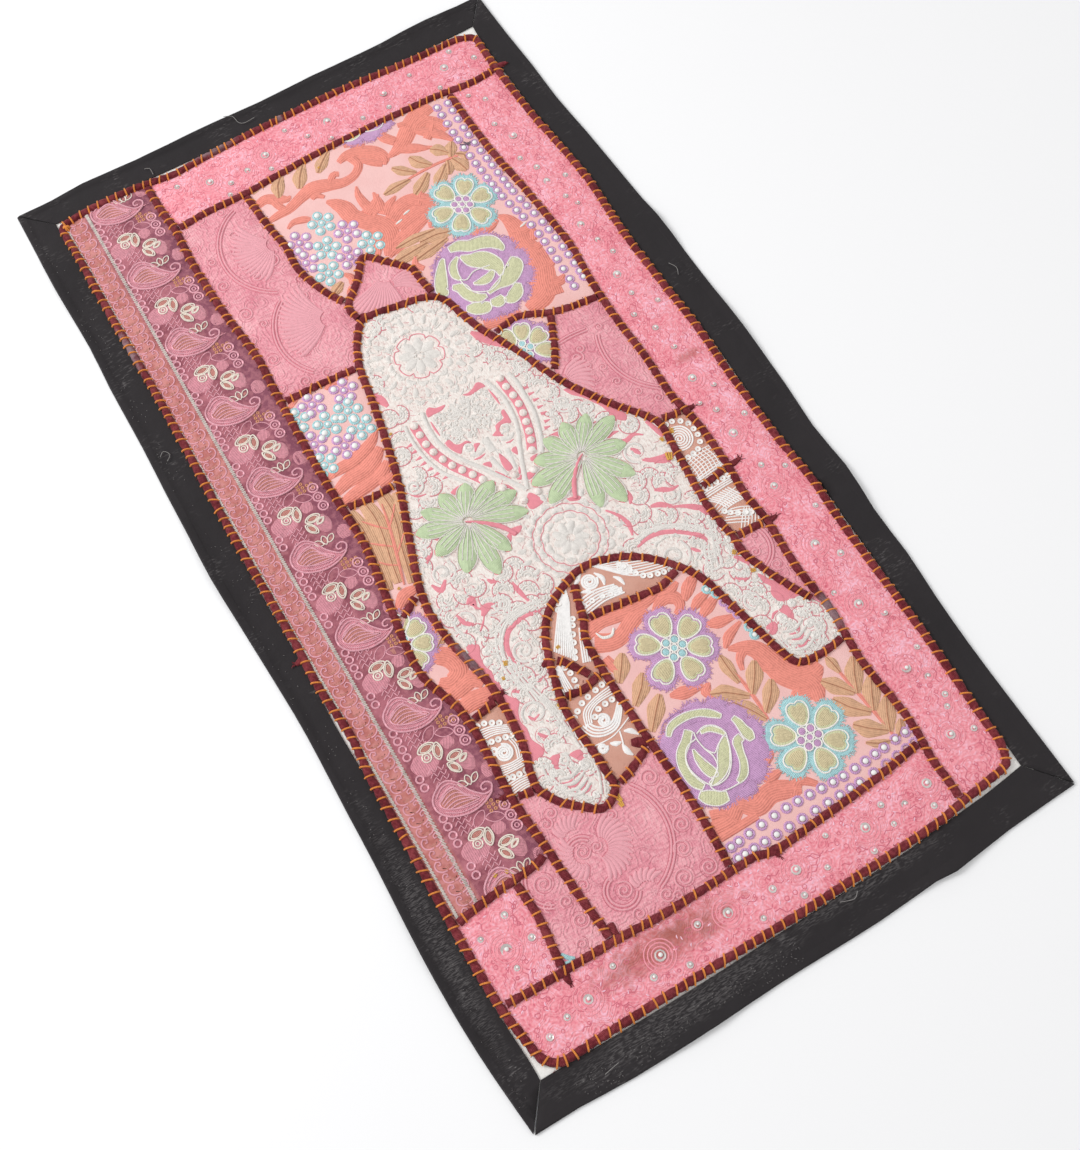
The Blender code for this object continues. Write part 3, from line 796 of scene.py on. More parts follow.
bright = Surface("bright_pink_cloth", 0.75, sheen=0.15)
vermicelli = bright.meander(13, 11)
waves = bright.meander(6, 3)
pinks_of = bright.ramp(
    vermicelli * 0.1 + waves * 0.06 + bright.noise(26) * 0.5 + bright.noise(2.4, 3.0) * 0.75,
    (0.42, dye(214, 104, 122)), (0.6, dye(238, 142, 155)), (0.72, dye(244, 160, 170)),
    (0.92, dye(250, 190, 208)),
)
STAINS = ((-104, -430, 72, 18, 0.75), (-94, -427, 12, 7, 0.5), (-64, -441, 13, 8, 0.5), (217, 23, 16, 6, 0.5))
stained = 1
for x, y, wide, long, depth in STAINS:
    reach = bright.apart(x, y, wide, long) * 0.5 + bright.noise(6, 3.0) * 0.7
    stained = bright.ramp(reach, (0.5, 1 - depth), (0.95, 1.0)) * stained
bright_cloth = bright.finish(
    bright.mixed(stained, dye(166, 86, 72), pinks_of),
    height=vermicelli * 0.5 + waves * 0.4 + bright.noise(3.5, 3.0), depth=0.45,
)
for name in BRIGHT_SEQUINS:
    patch_sheet(name, bright_cloth)

# Between the sequins the quilting draws small rings and wavy lines, with pale tufts where the thread crosses.
bright_thread = thread_dye_and_shade("bright_pink_thread", dye(246, 158, 170), shade=0.94, relief=0.15)
dent_thread = thread_dye_and_shade("bright_dent_thread", dye(218, 116, 134), shade=0.92, relief=0.1)
tuft_thread = thread_dye_and_shade("bright_tuft_thread", dye(250, 204, 222), shade=0.95, relief=0.1)
ripples, dents, pale_tufts = [], [], []
AREA_PER_BIT = 75
wave = [stroke([(-5, 0), (-2, 1.4), (1.5, -1.2), (5, 0.4)], 0.35, step=2.5)]
wisp = [stroke([(-1.6, 0, 0.3), (0, 0.2, 0.7), (1.6, 0, 0.3)])]
for patch, sequins in BRIGHT_SEQUINS.items():
    around = []
    for x, y, size in sequins:
        reaches = (size + 2.2, size + 5.4, size + 8.6) if size > BIG_SEQUIN else (size + 1.6,)
        around += [ring(x, y, reach, 0.7, 8 + int(reach)) for reach in reaches]
    ripples += trimmed(around, patch)
    small, pale_bits = [], []
    (low_x, high_x), (low_y, high_y) = extent(outlines[f"patch_{patch}"])
    along = 90 if high_y - low_y > high_x - low_x else 0
    for _ in range(round((high_x - low_x) * (high_y - low_y) / AREA_PER_BIT)):
        spot = (random.uniform(low_x, high_x), random.uniform(low_y, high_y))
        if min(math.dist(spot, sequin[:2]) / (sequin[2] + 4) for sequin in sequins) < 1:
            continue
        choice = random.random()
        if choice < 0.4:
            small.append(ring(*spot, random.uniform(1.0, 2.2), 0.4, 7))
        elif choice < 0.75:
            small += placed(wave, *spot, along + random.uniform(-25, 25), random.uniform(0.8, 1.5))
        else:
            pale_bits += placed(wisp, *spot, random.uniform(0, 180))
    dents += trimmed(small, patch)
    pale_tufts += trimmed(pale_bits, patch)
laid("ripple_stitches", ripples, bright_thread, "bright_pink_cloth", loft=0.35)
laid("quilting_dents", dents, dent_thread, "bright_pink_cloth", loft=0.15)
laid("quilting_tufts", pale_tufts, tuft_thread, "bright_pink_cloth", loft=0.3)


def sequin_model():
    """A sequin of radius 1: a shallow dish with a hole at its middle."""
    bpy.ops.object.select_all(action="DESELECT")
    bpy.ops.mesh.primitive_circle_add(vertices=10, radius=1, fill_type="NGON")
    edit_all()
    bpy.ops.mesh.inset(thickness=0.35, depth=-0.12)
    bpy.ops.mesh.inset(thickness=0.35, depth=-0.1)
    bpy.ops.mesh.delete(type="ONLY_FACE")
    bpy.ops.object.mode_set(mode="OBJECT")
    sequin = bpy.context.object
    wall = sequin.modifiers.new("thickness", "SOLIDIFY")
    wall.thickness = 0.12
    bpy.ops.object.modifier_apply(modifier=wall.name)
    return sequin


def bead_model():
    """A bead of radius 1, a little flattened."""
    bpy.ops.object.select_all(action="DESELECT")
    bpy.ops.mesh.primitive_uv_sphere_add(segments=8, ring_count=5, radius=1)
    edit_all()
    bpy.ops.transform.resize(value=(1, 1, 0.6))
    bpy.ops.object.mode_set(mode="OBJECT")
    return bpy.context.object


def sewn_on(name, model, places, material, lift, tilt=0.0):
    """One piece of many copies of a model, each at its (x, y, size), and removes the model."""
    pattern = bmesh.new()
    pattern.from_mesh(model.data)
    bpy.data.objects.remove(model)
    whole = bmesh.new()
    for x, y, size in places:
        copy = bpy.data.meshes.new("copy")
        pattern.to_mesh(copy)
        lean = Matrix.Rotation(random.gauss(0, tilt), 4, "X")
        lean = lean @ Matrix.Rotation(random.uniform(0, 6.3), 4, "Z")
        spot = Vector(in_frame(x, y, face_height(x, y) + lift))
        copy.transform(Matrix.Translation(spot) @ lean @ Matrix.Scale(size * MM, 4))
        whole.from_mesh(copy)
        bpy.data.meshes.remove(copy)
    pattern.free()
    return finished(new_piece(name, whole, material), 50)


silver = Surface("sequin_silver", 0.28)
sequin_silver = silver.finish(
    silver.mixed(silver.noise(6), dye(196, 186, 184), dye(240, 234, 230)), Metallic=0.55,
)
pearl = Surface("bead_white", 0.42, sheen=0.1)
bead_white = pearl.finish(pearl.mixed(pearl.noise(9), dye(226, 226, 224), dye(252, 251, 248)))
random.seed(7)
all_sequins = [spot for sequins in BRIGHT_SEQUINS.values() for spot in sequins]
sewn_on("sequins", sequin_model(), all_sequins, sequin_silver, SEQUIN_LIFT, tilt=0.16)
sewn_on(
    "sequin_beads", bead_model(), [(x + 0.5, y + 0.3, 0.42 * size) for x, y, size in all_sequins], bead_white,
    SEQUIN_LIFT + 0.45,
)

# The pale pink patches are cut from one quilt: double lines of raised stitching draw wide arcs on it, rows of
# small coils and plumes follow them, one side is waffled and vermicelli covers the rest.
PALE_ARCS = {
    "pale_left": [(-62, 339, 58.5, 112, 242), (-59, 229, 57, 125, 223)],
    "pale_right": [(212, 60, 64, 155, 236)],
    "pale_right_low": [(150, -172, 26, -80, 60)],
    "pale_bottom": [(-101, -338, 55.5, -70, 38), (-110.7, -376.7, 14, 100, 330), (-122.5, -333, 13, 35, 250)],
    "corner_pale": [(-158, -338, 22, 60, 250)],
    "peak": [],
}
PALE_LINES = {"pale_right": [[(117, 98.6), (132, 98.8), (148, 97.6)]]}
PALE_COILS = {
    "pale_left": [
        (-96, 366, 6), (-103, 349, 6), (-104, 331, 6), (-99, 313, 6), (-92, 250, 6), (-99, 233, 5.5),
        (-98, 215, 5.5), (-80, 346, 8), (-78, 322, 8), (-140, 395, 7), (-128, 280, 8), (-66, 396, 6),
        (-136, 190, 6), (-118, 400, 6), (-96, 398, 6), (-138, 372, 6), (-130, 350, 5), (-132, 320, 7),
        (-140, 300, 5), (-118, 262, 5), (-136, 250, 6), (-128, 222, 7), (-140, 206, 5), (-112, 186, 6),
        (-90, 184, 5), (-70, 270, 6), (-64, 290, 5),
    ],
    "pale_right": [
        (139.8, 54, 4.5), (143.3, 34, 4.5), (155, 14.3, 4.5), (168, -1, 4.5), (124, 75, 7), (128, 62, 4),
        (112, 60, 5), (131, 82, 5), (160, 94, 4),
    ],
    "pale_right_low": [(158, -180, 5), (168, -200, 6), (166, -166, 4)],
    "pale_bottom": [
        (-109.3, -334, 5), (-122, -332, 7), (-109, -377, 8), (-38.7, -307, 8), (-34.7, -323, 7),
        (-36, -339, 8), (-37.3, -355, 8), (-48, -372.7, 8), (-60, -394, 9), (-37.3, -396.7, 8),
        (-80, -398, 7), (-134, -398, 6), (-50, -292, 5.5), (-136, -356, 6), (-136, -296, 6), (-72, -404, 5),
        (-108, -400, 6), (-38, -290, 5), (-128, -290, 6), (-84, -318, 5),
    ],
    "corner_pale": [(-164, -338, 9), (-155, -360, 6), (-153, -379, 8), (-162, -396, 5), (-170, -356, 5)],
    "peak": [],
}
PALE_PLUMES = {
    "pale_left": [(-60, 235, 100, 212, 50), (-66, 338, 120, 235, 44)],
    "pale_right": [(96, 62, -52, 28, 34)],
    "pale_bottom": [
        (-109, -335, -105, 50, 30), (-122, -333, 110, 250, 23), (-92, -388, 20, 120, 20),
        (-122, -320, 50, 130, 22),
    ],
    "peak": [(10, 251, 190, 268, 58), (4, 240, -40, 10, 40)],
}

pale = Surface("pale_pink_cloth", 0.7, sheen=0.15)
quilting = pale.meander(12, 6)
waffle = pale.bands("X", 2.2, wander=2.0) * pale.bands("Y", 2.2, wander=2.0)
pale_tones = pale.noise(32) * 0.5 + quilting * 0.07 + waffle * 0.05 + pale.noise(2.4, 3.0) * 0.55
pale_cloth = pale.finish(
    pale.ramp(pale_tones, (0.36, dye(214, 126, 142)), (0.56, dye(233, 157, 168)), (0.8, dye(246, 186, 192))),
    height=quilting * 0.8 + waffle * 0.4 + pale.noise(3.2, 3.0) * 1.2,
    depth=0.6,
)
for name in PALE_ARCS:
    patch_sheet(name, pale_cloth)


def bow(x, y, reach, first, last, parts=14):
    """Points on an arc between two angles in degrees."""
    return [away(x, y, reach, math.radians(first + (last - first) * i / parts)) for i in range(parts + 1)]


def coil(x, y, inner, outer, turns, start=0, half=0.7):
    """A spiral stroke of so many turns."""
    steps = round(turns * 9)
    reaches = [inner + (outer - inner) * i / steps for i in range(steps + 1)]
    return stroke([away(x, y, reach, math.radians(start + 40 * i)) for i, reach in enumerate(reaches)], half)


# The thin darker lines beside and between the raised lines, round the coils and along the plumes are painted
# shade in the grooves.
raised, groove_shades, fans = [], [], []
for patch, arcs in PALE_ARCS.items():
    doubles, dents, plumes = [], [], []
    for x, y, reach, first, last in arcs:
        doubles += [stroke(bow(x, y, reach + out, first, last), 0.9) for out in (1.5, -1.5)]
        dents += [stroke(bow(x, y, reach + out, first, last), 0.32) for out in (3.1, 0, -3.1)]
    for line in PALE_LINES.get(patch, []):
        doubles += [stroke([(x, y + out) for x, y in line], 0.9) for out in (1.5, -1.5)]
        dents += [stroke([(x, y + out) for x, y in line], 0.32) for out in (3.1, 0, -3.1)]
    for x, y, reach in PALE_COILS[patch]:
        start = random.uniform(0, 360)
        plumes.append(coil(x, y, 1, reach, max(1.2, reach / 4.5), start, half=0.9))
        dents += [coil(x, y, 0.5, reach + 1.2, max(1.3, reach / 4.5), start + 190, half=0.28)]
    for x, y, first, last, reach in PALE_PLUMES.get(patch, []):
        count = max(4, round((last - first) * reach / 320))
        for i in range(count):
            turn = first + (last - first) * (i + 0.5) / count
            plume = [(9, 0, 0.9), (reach * 0.5, 2.4, 1.9), (reach * 0.82, 1.4, 2.4), (reach, -1.2, 1.1)]
            plumes += placed([stroke(plume, step=3)], x, y, turn)
            groove = [(8, 2), (reach * 0.5, 5.2), (reach * 0.95, 3.4)]
            dents += placed([stroke(groove, 0.28, step=4)], x, y, turn)
    raised += trimmed(doubles, patch)
    fans += trimmed(plumes, patch)
    groove_shades += trimmed(dents, patch)
raised_thread = thread_dye_and_shade("quilting_thread", dye(240, 170, 180), shade=0.94, relief=0.15)
# The darker pink of the grooves is painted shade.
groove_shade = thread_dye_and_shade("quilting_groove_shade", dye(204, 114, 130), shade=0.92, relief=0.1)
laid("quilting_arcs", raised, raised_thread, "pale_pink_cloth", loft=0.9)
laid("quilting_groove_shades", groove_shades, groove_shade, "pale_pink_cloth", loft=0.12)
laid("quilting_fans", fans, raised_thread, "pale_pink_cloth", profile=SATIN, loft=0.75)

# The coral patches come from one machine-embroidered cloth of pale pink satin: coral scrolls, tan leaves,
# outlined flowers and roses in aqua, lilac and lime, and clusters and rows of small rings that hold pearls.
FLOWER_PATCHES = ("coral_top", "bead_flowers", "tan_leaf", "coral_left", "wedge", "coral_bottom")

satin = Surface("coral_ground", 0.55, sheen=0.1)
satin_cloth = satin.finish(
    satin.mixed(satin.noise(30), dye(238, 182, 178), dye(250, 208, 204)),
    height=satin.bands("X", 0.9) * satin.bands("Y", 0.9) * 0.4 + satin.noise(7) * 0.7,
    depth=0.35,
)
for name in FLOWER_PATCHES:
    patch_sheet(name, satin_cloth)


def blades(*shapes, lift=0.0):
    """Leaf and scroll shapes, each a line of (x, y, half width) that is narrow at its ends."""
    return [stroke(shape, step=2.6, lift=lift) for shape in shapes]


def leaf(x0, y0, x1, y1, x2, y2, half):
    """A leaf from its tip through its middle to its stalk."""
    return [
        (x0, y0, half * 0.3), ((x0 + x1) / 2, (y0 + y1) / 2, half * 0.8), (x1, y1, half),
        (x2, y2, half * 0.35),
    ]


def scalloped(count, reach, deep, start=0):
    """The corners of a flower's edge: out round each scallop and in between them."""
    corners = []
    for i in range(count):
        for lean, far in ((-0.36, 0.97), (0, 1.0), (0.36, 0.97), (0.5, deep)):
            corners.append(away(0, 0, reach * far, math.radians(start + 360 * (i + lean) / count)))
    return corners


lilac_pads, aqua_pads, lime_pads, fawn_pads = [], [], [], []
corals, tans, aquas, lilacs, whites, pearls = [], [], [], [], [], []
random.seed(12)

# An open flower: six petals in a satin edge, each a lime pad outlined in white, and a small flower between.
PETAL_EDGE = (
    (14, -8.5), (24, -13), (33, -12.5), (38.5, -7), (38.8, 0), (38.5, 7), (33, 12.5), (24, 13), (14, 8.5),
)
PETAL_PAD = (
    (11.5, -2.4), (17, -7), (24.5, -9.2), (30.5, -7.6), (32.6, -3), (31, 0), (32.6, 3), (30.5, 7.6),
    (24.5, 9.2), (17, 7), (11.5, 2.4),
)
PETAL_HEART = (
    (14, -1.2), (18, -5), (24.5, -7), (29.3, -5.4), (30.6, -2), (29.2, 0), (30.6, 2), (29.3, 5.4), (24.5, 7),
    (18, 5), (14, 1.2),
)


def shaggy(corners, reach=2.6):
    """Loose thread ends all round the edge of a pad."""
    ends = []
    middle_x, middle_y = (sum(side) / len(corners) for side in zip(*corners))
    for x, y in corners:
        for _ in range(2):
            turn = math.atan2(y - middle_y, x - middle_x) + random.gauss(0, 0.5)
            x0, y0 = (side + random.gauss(0, 0.8) for side in away(x, y, -2, turn))
            length = 2 + random.uniform(0.3, 1) * reach
            ends.append(stroke([(x0, y0), away(x0, y0, length, turn)], 0.32, step=9, lift=0.5))
    return ends


def outlined_flower(x, y, reach, turns, edges, cores, heart):
    size = reach / 38
    fringe = lilacs if edges is lilac_pads else aquas
    edges.append((rounded(put(scalloped(12, 24, 0.95), x, y, 0, size), 2.4), 0, -0.15))
    for turn in turns:
        edges.append((rounded(put(PETAL_EDGE, x, y, turn, size), 1.7, 0.5), turn, 0))
        fringe += shaggy(rounded(put(PETAL_EDGE, x, y, turn, size), 2.2))
        lime_pads.append((rounded(put(PETAL_PAD, x, y, turn, size), 2), turn + 90, 0.6))
        fawn_pads.append((rounded(put(PETAL_HEART, x, y, turn, size), 2), turn, 1.1))
        whites.append(stroke(put(PETAL_PAD, x, y, turn, size * 1.04), 0.75, step=2, closed=True, lift=1.3))
    for i in range(heart):
        t = 2 * math.pi * (i + 0.5) / heart + math.radians(turns[0])
        px, py = away(x, y, size * 8.2, t)
        cores.append((rounded(put(scalloped(4, 3.4, 0.98), px, py), 2), math.degrees(t), 1.0))
        whites.append(ring(px, py, 4.0 * size, 0.75, 10, lift=1.5))
    cores.append((rounded(put(scalloped(4, 3.0, 0.98), x, y), 2), 45, 1.2))
    whites.append(ring(x, y, 3.3 * size, 0.75, 10, lift=1.8))


# A full rose: a ragged scalloped lilac pad, and lime petals that wrap round each other, outlined in white.
ROSE_PETALS = (
    ((-24, 36, 1.3), (-28, 32, 3.1), (-37, 18, 5.9), (-43, 5, 5.9), (-39, 0, 2.6)),
    ((-14, 42, 3.2), (-3, 41, 5.9), (6, 36, 6.5), (17, 34, 7.2), (27, 29, 7.2), (32, 19, 3.9), (31, 15, 1.3)),
    ((-11, 31, 1.3), (-20, 24, 3.9), (-23.5, 14, 3.9), (-21.5, 7, 1.6)),
    ((-8, 30, 1.6), (-1.5, 21.5, 7.2), (9.5, 15, 9.8), (16.5, 5, 8.5), (17.5, -2, 5.2), (15.5, -9, 2)),
    ((-12.5, -4, 1.3), (-1.5, -6, 4.7), (6, -4, 3.9), (11.5, 0, 2)),
    ((-32.5, 3, 2.6), (-25.5, -3, 5.9), (-23.5, -12, 5.9), (-17.5, -20, 5.5), (-8.5, -22, 2)),
    ((-5.5, -21, 1.6), (6.5, -18, 3.9), (19, -16, 7.8), (28.5, -10.5, 8.5), (34, -4, 7.8), (32, 2, 3.9)),
    ((-32.5, -25, 2.9), (-25.5, -29, 6.5), (-16.5, -33, 6.5), (-11.5, -29, 3.2)),
    ((-9, -31, 3.2), (-2.5, -34, 5.9), (5, -32, 3.9)),
    ((4, -35, 2), (10.5, -37, 5.9), (19, -33, 6.5), (25, -25.5, 3.2)),
)
ROSE_BUD = (
    ((-22, 7), (-20, -7), (-12.5, -15), (-1.5, -19), (10, -15), (15.5, -8.5)),
    ((-22, 7.5), (-16.5, 3.5), (-5, 8.5), (11.5, 6.5)),
)
OPEN_ROSE_PETALS = (
    (
        (-27.3, 31.7, 2), (-20.4, 38, 3.2), (-6.5, 39.3, 3.4), (6.1, 36.2, 3.2), (15, 30.5, 3.6),
        (21.9, 23.5, 2),
    ),
    ((30.1, 17, 2.2), (32, 11, 3.4), (32.4, 4.5, 4), (33.4, -2, 5), (33.6, -8, 2.6)),
    (
        (27, -1, 3.5), (21.3, -3, 4), (18.4, -11.8, 3.2), (15.6, -21.3, 3.4), (9.9, -29.5, 3.6),
        (2.4, -32.7, 2),
    ),
    ((-9.6, 27.3, 3.6), (-16.6, 20.4, 4), (-25.4, 14, 4.2), (-30.2, 6.5, 3.8), (-31.7, -3.6, 3.8),
     (-30.2, -13.7, 4.2), (-26, -21.3, 3)),
    ((-15.3, 10.9, 0.8), (-16, 2.7, 3), (-14.7, -7.4, 4.6), (-12.4, -15.5, 4.6), (-12.8, -18.8, 3)),
    (
        (-19.1, -22.3, 2), (-10.3, -20.7, 3.6), (-1.4, -15, 5), (4.9, -6.1, 5.4), (10.6, 1.4, 4.4),
        (14.7, 6.5, 1.8),
    ),
    ((-1.4, 20.4, 1.6), (6.8, 19.4, 2.6), (13.1, 13.4, 2.4), (16, 8.4, 1.6)),
    ((-32.4, -25.1, 3), (-27.9, -30.1, 6), (-20.4, -35.8, 6.4), (-12.2, -38.3, 4)),
)
OPEN_ROSE_BUD = (
    ((-6.5, 23.5), (-7.7, 17), (-6.5, 6.5), (-3.7, -3.6), (-5.8, -13), (-13.4, -18.8), (-19.7, -23.2)),
    ((-7.7, 17.6), (-17.8, 15.9), (-24.8, 8.4), (-27.3, -2.4), (-24.2, -15), (-19.7, -23.2)),
    ((-6.5, 6.5), (-1.4, -1.1), (5.5, 3.3), (13.1, 7.1)),
    ((-5.2, 21), (3.6, 23.5), (12.5, 19.1), (16.9, 10.3), (15, 2.7), (11.2, -7.4), (4.9, -17.5), (-4, -24.5),
     (-14.1, -25.7), (-20.4, -23.8), (-16.6, -31.4), (-6.5, -33.9), (2.4, -34.2)),
)


def rose(x, y, reach, turn, petals, bud, size=1.0):
    rim = rounded(put(scalloped(13, reach, 0.88), x, y, turn), 1.7, 0.5)
    lilac_pads.append((rim, turn, 0))
    lilacs.extend(shaggy(rim, 4))
    for petal in petals:
        corners = put(swelled(petal), x, y, turn, size)
        (x0, y0, _), (x1, y1, _) = petal[0], petal[-1]
        lean = turn + math.degrees(math.atan2(y1 - y0, x1 - x0)) + 90
        lime_pads.append((rounded(corners, 2.2), lean, 0.6))
        whites.append(stroke(corners, 0.65, step=2.2, closed=True, lift=1.25))
        for share in (0.8, 1.17):
            row = stroke([(px * share, py * share) for px, py, _ in petal], 0.5, lift=1.0)
            lilacs.extend(placed([row], x, y, turn, size))
    whites.extend(placed([stroke(line, 0.7, lift=1.5) for line in bud], x, y, turn, size))


def bead_flower(x, y, colours, turn=0):
    """Five small rings round a sixth, each of them holding a pearl."""
    for i in range(5):
        spot = away(x, y, 9.6, math.radians(turn + 72 * i))
        colours.append(ring(*spot, 4.0, 1.35, 10))
        pearls.append((*spot, 3.2))
    colours.append(ring(x, y, 2.8, 1.5, 9))
    pearls.append((x, y, 2.0))


# The large patch at the top.
corals += blades(
    [(-60, 365, 3), (-46, 366.5, 5), (-35, 367.5, 5.5), (-20, 373, 6.5), (-4, 377, 8.5), (12, 373, 8),
     (26, 368, 6), (40, 370, 5), (50, 379, 5), (48, 391, 6)],
    [(-60, 388, 5), (-50, 389.5, 6), (-41, 384, 6.5), (-31, 379, 4), (-27, 381, 1)],
    [(-44, 386, 5), (-42, 375, 4.5), (-38, 368, 3)], [(14, 374, 3), (22, 381, 4), (27, 381, 2), (25, 377, 1)],
    [(34, 392, 3), (46, 395, 6.5), (60, 391, 9), (72, 383, 9), (77, 373, 6), (73, 366, 2)],
    [(54, 384, 3), (64, 375, 5), (72, 368, 4)],
    [(80, 372, 2), (92, 375, 6), (104, 382, 9), (117, 393, 10), (130, 402, 10), (149, 407, 8)],
    [(94, 374, 4), (108, 369, 6.5), (120, 362.5, 3), (126, 361, 1)],
    [(118, 386, 5), (126, 393, 10), (140, 397, 12)],
    [(120, 388, 4), (131, 379, 6.5), (141, 369, 5.5), (148, 357, 2)],
    [(136, 392, 8), (146, 382, 7), (149, 371, 3)],
    [(1, 356, 2), (7, 350, 6.5), (13, 340, 9.5), (15, 328, 10), (22, 318, 10), (31, 308, 12), (36, 296, 14),
     (32, 282, 9), (24, 269, 4)],
    [(35.5, 357, 1.2), (32.5, 346, 4.2), (33.5, 332, 6), (38, 318, 8)],
    [(47, 342, 1.2), (46, 331, 5), (43, 318, 8)], [(64, 327, 1.2), (54, 321, 5.5), (45, 312, 9)],
    [(47, 304, 8), (58, 311, 9), (71, 314, 9.5), (84, 311, 8), (95, 303, 6)],
    [(48, 292, 9), (60, 296, 10.5), (74, 299, 10), (87, 297, 7), (93, 293, 3)],
    [(36, 278, 7), (50, 281, 8), (64, 286, 8), (76, 290, 6), (82, 294, 3)],
    [(24, 268, 3), (34, 272, 6), (46, 273, 4)],
    [(-47, 347, 1.5), (-39, 351, 3.6), (-29, 349, 4.6), (-23, 346, 3)],
    [(141, 254, 2), (147, 245, 7), (149, 230, 10.5), (146, 214, 12), (149, 198, 12), (147, 180, 13),
     (140, 164, 15), (136, 148, 17)],
    [(144, 230, 8), (156, 226, 6), (163, 229, 1)], [(147, 206, 8), (156, 203, 6), (163, 206, 1)],
    [(147, 182, 8), (156, 179, 6), (163, 182, 1)], [(148, 160, 8), (156, 158, 6), (162, 162, 1)],
    [(100, 252, 2), (112, 247, 5), (126, 246, 5), (138, 250, 2)],
    [(-8, 246, 2), (-14, 252, 4), (-24, 254, 5), (-32, 250, 1.5)], [(30, 322, 8), (42, 330, 5), (50, 338, 1)],
    [(64, 396, 6), (58, 404, 4), (48, 407, 2)], [(96, 386, 6), (88, 398, 6), (92, 408, 4)],
    [(130, 408, 6), (120, 400, 5), (108, 402, 3)], [(126, 372, 5), (136, 380, 4), (144, 392, 3)],
    [(28, 290, 10), (20, 282, 5), (14, 272, 2)], [(78, 306, 6), (88, 318, 4), (96, 322, 1.5)],
    [(86, 300, 5), (82, 286, 5), (76, 276, 2)], [(2, 362, 2), (-4, 368, 4), (-10, 366, 2)],
    [(146, 160, 8), (130, 150, 11), (112, 146, 6)], [(160, 232, 2), (162, 221, 4), (157, 212, 4)],
    [(66, 152, 6), (80, 149, 6), (92, 146, 5), (104, 147, 4)], [(46, 254, 2), (42, 246, 4), (47, 238, 3)],
    [(-24, 272, 2), (-19, 265, 4.5), (-21, 258, 4), (-18, 250, 2)],
)
for x, y in ((52, 298), (64, 304), (157, 232)):
    whites.append(stroke([(x - 4, y - 1, 0.6), (x, y, 1.3), (x + 4, y + 1, 0.6)], lift=0.5))
tans += blades(
    leaf(-38, 384, -32, 398, -23, 409, 7.5), leaf(-15, 384, -8, 396, 2, 409, 8),
    leaf(10, 391, 19, 400, 31, 410, 7),
    leaf(-58, 402, -52, 407, -44, 410, 4), leaf(55, 334, 69, 336, 86, 337, 6),
    leaf(77, 358, 85, 350, 96, 341, 6.5),
    leaf(99, 361, 104, 351, 114, 341, 8), leaf(122, 359, 129, 354, 136, 346, 8),
    leaf(146, 356, 141, 349, 136, 340, 7),
    leaf(82, 318, 92, 324, 106, 335, 8), leaf(105, 316, 115, 324, 127, 335, 7.5),
    leaf(142, 318, 140, 327, 136, 338, 9),
    leaf(124, 322, 128, 330, 131, 338, 6), leaf(148, 328, 149, 336, 142, 341, 5),
    leaf(24, 259, 42, 260, 64, 262, 8), leaf(92, 262, 76, 266, 58, 266, 9),
    leaf(34, 272, 54, 273, 78, 272, 6),
    leaf(46, 250, 62, 253, 84, 257, 7), leaf(-44, 258, -38, 261, -30, 265, 6.5),
)
corals += blades([(56, 333, 0.6), (84, 338, 1.2), (116, 340, 1.6), (148, 338, 1.2)])
outlined_flower(116.5, 283, 36, (180, 112, 55, 0, -64, -122), aqua_pads, lilac_pads, 6)
rose(92.4, 201, 50, 0, ROSE_PETALS, ROSE_BUD)
rose(78, 446, 47.5, -60, ROSE_PETALS, ROSE_BUD, 0.95)
for x, y, turn in ((-15, 336, 90), (-24.6, 307, 60), (17, 291, 20), (-36.5, 280.5, 35)):
    bead_flower(x, y, aquas, turn)
for x, y, turn in ((-45, 326.5, 20), (2.7, 314.5, 95), (-10, 286.5, 80), (-50.5, 302.5, 5)):
    bead_flower(x, y, lilacs, turn)
RING_ROWS = (
    ((154.5, 408), (152.8, 365), (154, 310), (156.5, 272), (162, 240), (165, 215), (165, 180), (163.5, 145)),
    ((167.5, 408), (165.3, 365), (167, 310), (169, 272), (172, 250), (175.5, 225), (178, 190), (177.5, 150)),
)
for bends in RING_ROWS:
    for x, y in smooth_line(bends, 10.3)[1:]:
        lilacs.append(ring(x, y, 3.9, 1.3, 9))
        pearls.append((x, y, 2.7))

# The patches down the left side and the small wedge.
for x, y, turn in ((-116, 134, 10), (-90, 116, 30), (-140, 152, 0), (-139, 98, 20), (-93, 137, 60)):
    bead_flower(x, y, aquas, turn)
for x, y, turn in ((-119, 160, 20), (-86, 158, 0), (-113, 106, 40), (-137, 122, 10)):
    bead_flower(x, y, lilacs, turn)
corals += blades(
    [(-142, 84, 2), (-130, 87, 6), (-114, 88, 7), (-100, 92, 7), (-88, 98, 5), (-80, 105, 2)],
    [(-142, 68, 5), (-126, 73, 8), (-110, 74, 9), (-96, 80, 8), (-85, 88, 4)],
    [(-142, 56, 4), (-126, 58, 7), (-110, 60, 7), (-96, 64, 7), (-86, 72, 4)],
    [(-104, 54, 4), (-94, 56, 5), (-88, 58, 3)],
    [(-138, 168, 2), (-132, 173, 4), (-124, 176, 2)], [(-100, 168, 2), (-90, 172, 5), (-76, 170, 4)],
    [(-154, -120, 3), (-144, -117, 8), (-132, -126, 10), (-131, -140, 9), (-143, -146, 8), (-151, -140, 4)],
    [(-152, -156, 6), (-140, -154, 9), (-126, -152, 9), (-118, -160, 6)],
    [(-150, -173, 6), (-136, -170, 9), (-118, -172, 8)], [(-124, -120, 4), (-120, -134, 6), (-117, -148, 5)],
    [(-126, -52, 4), (-138, -54, 7), (-150, -62, 3)], [(-124, -74, 3), (-130, -84, 5), (-128, -98, 4)],
)
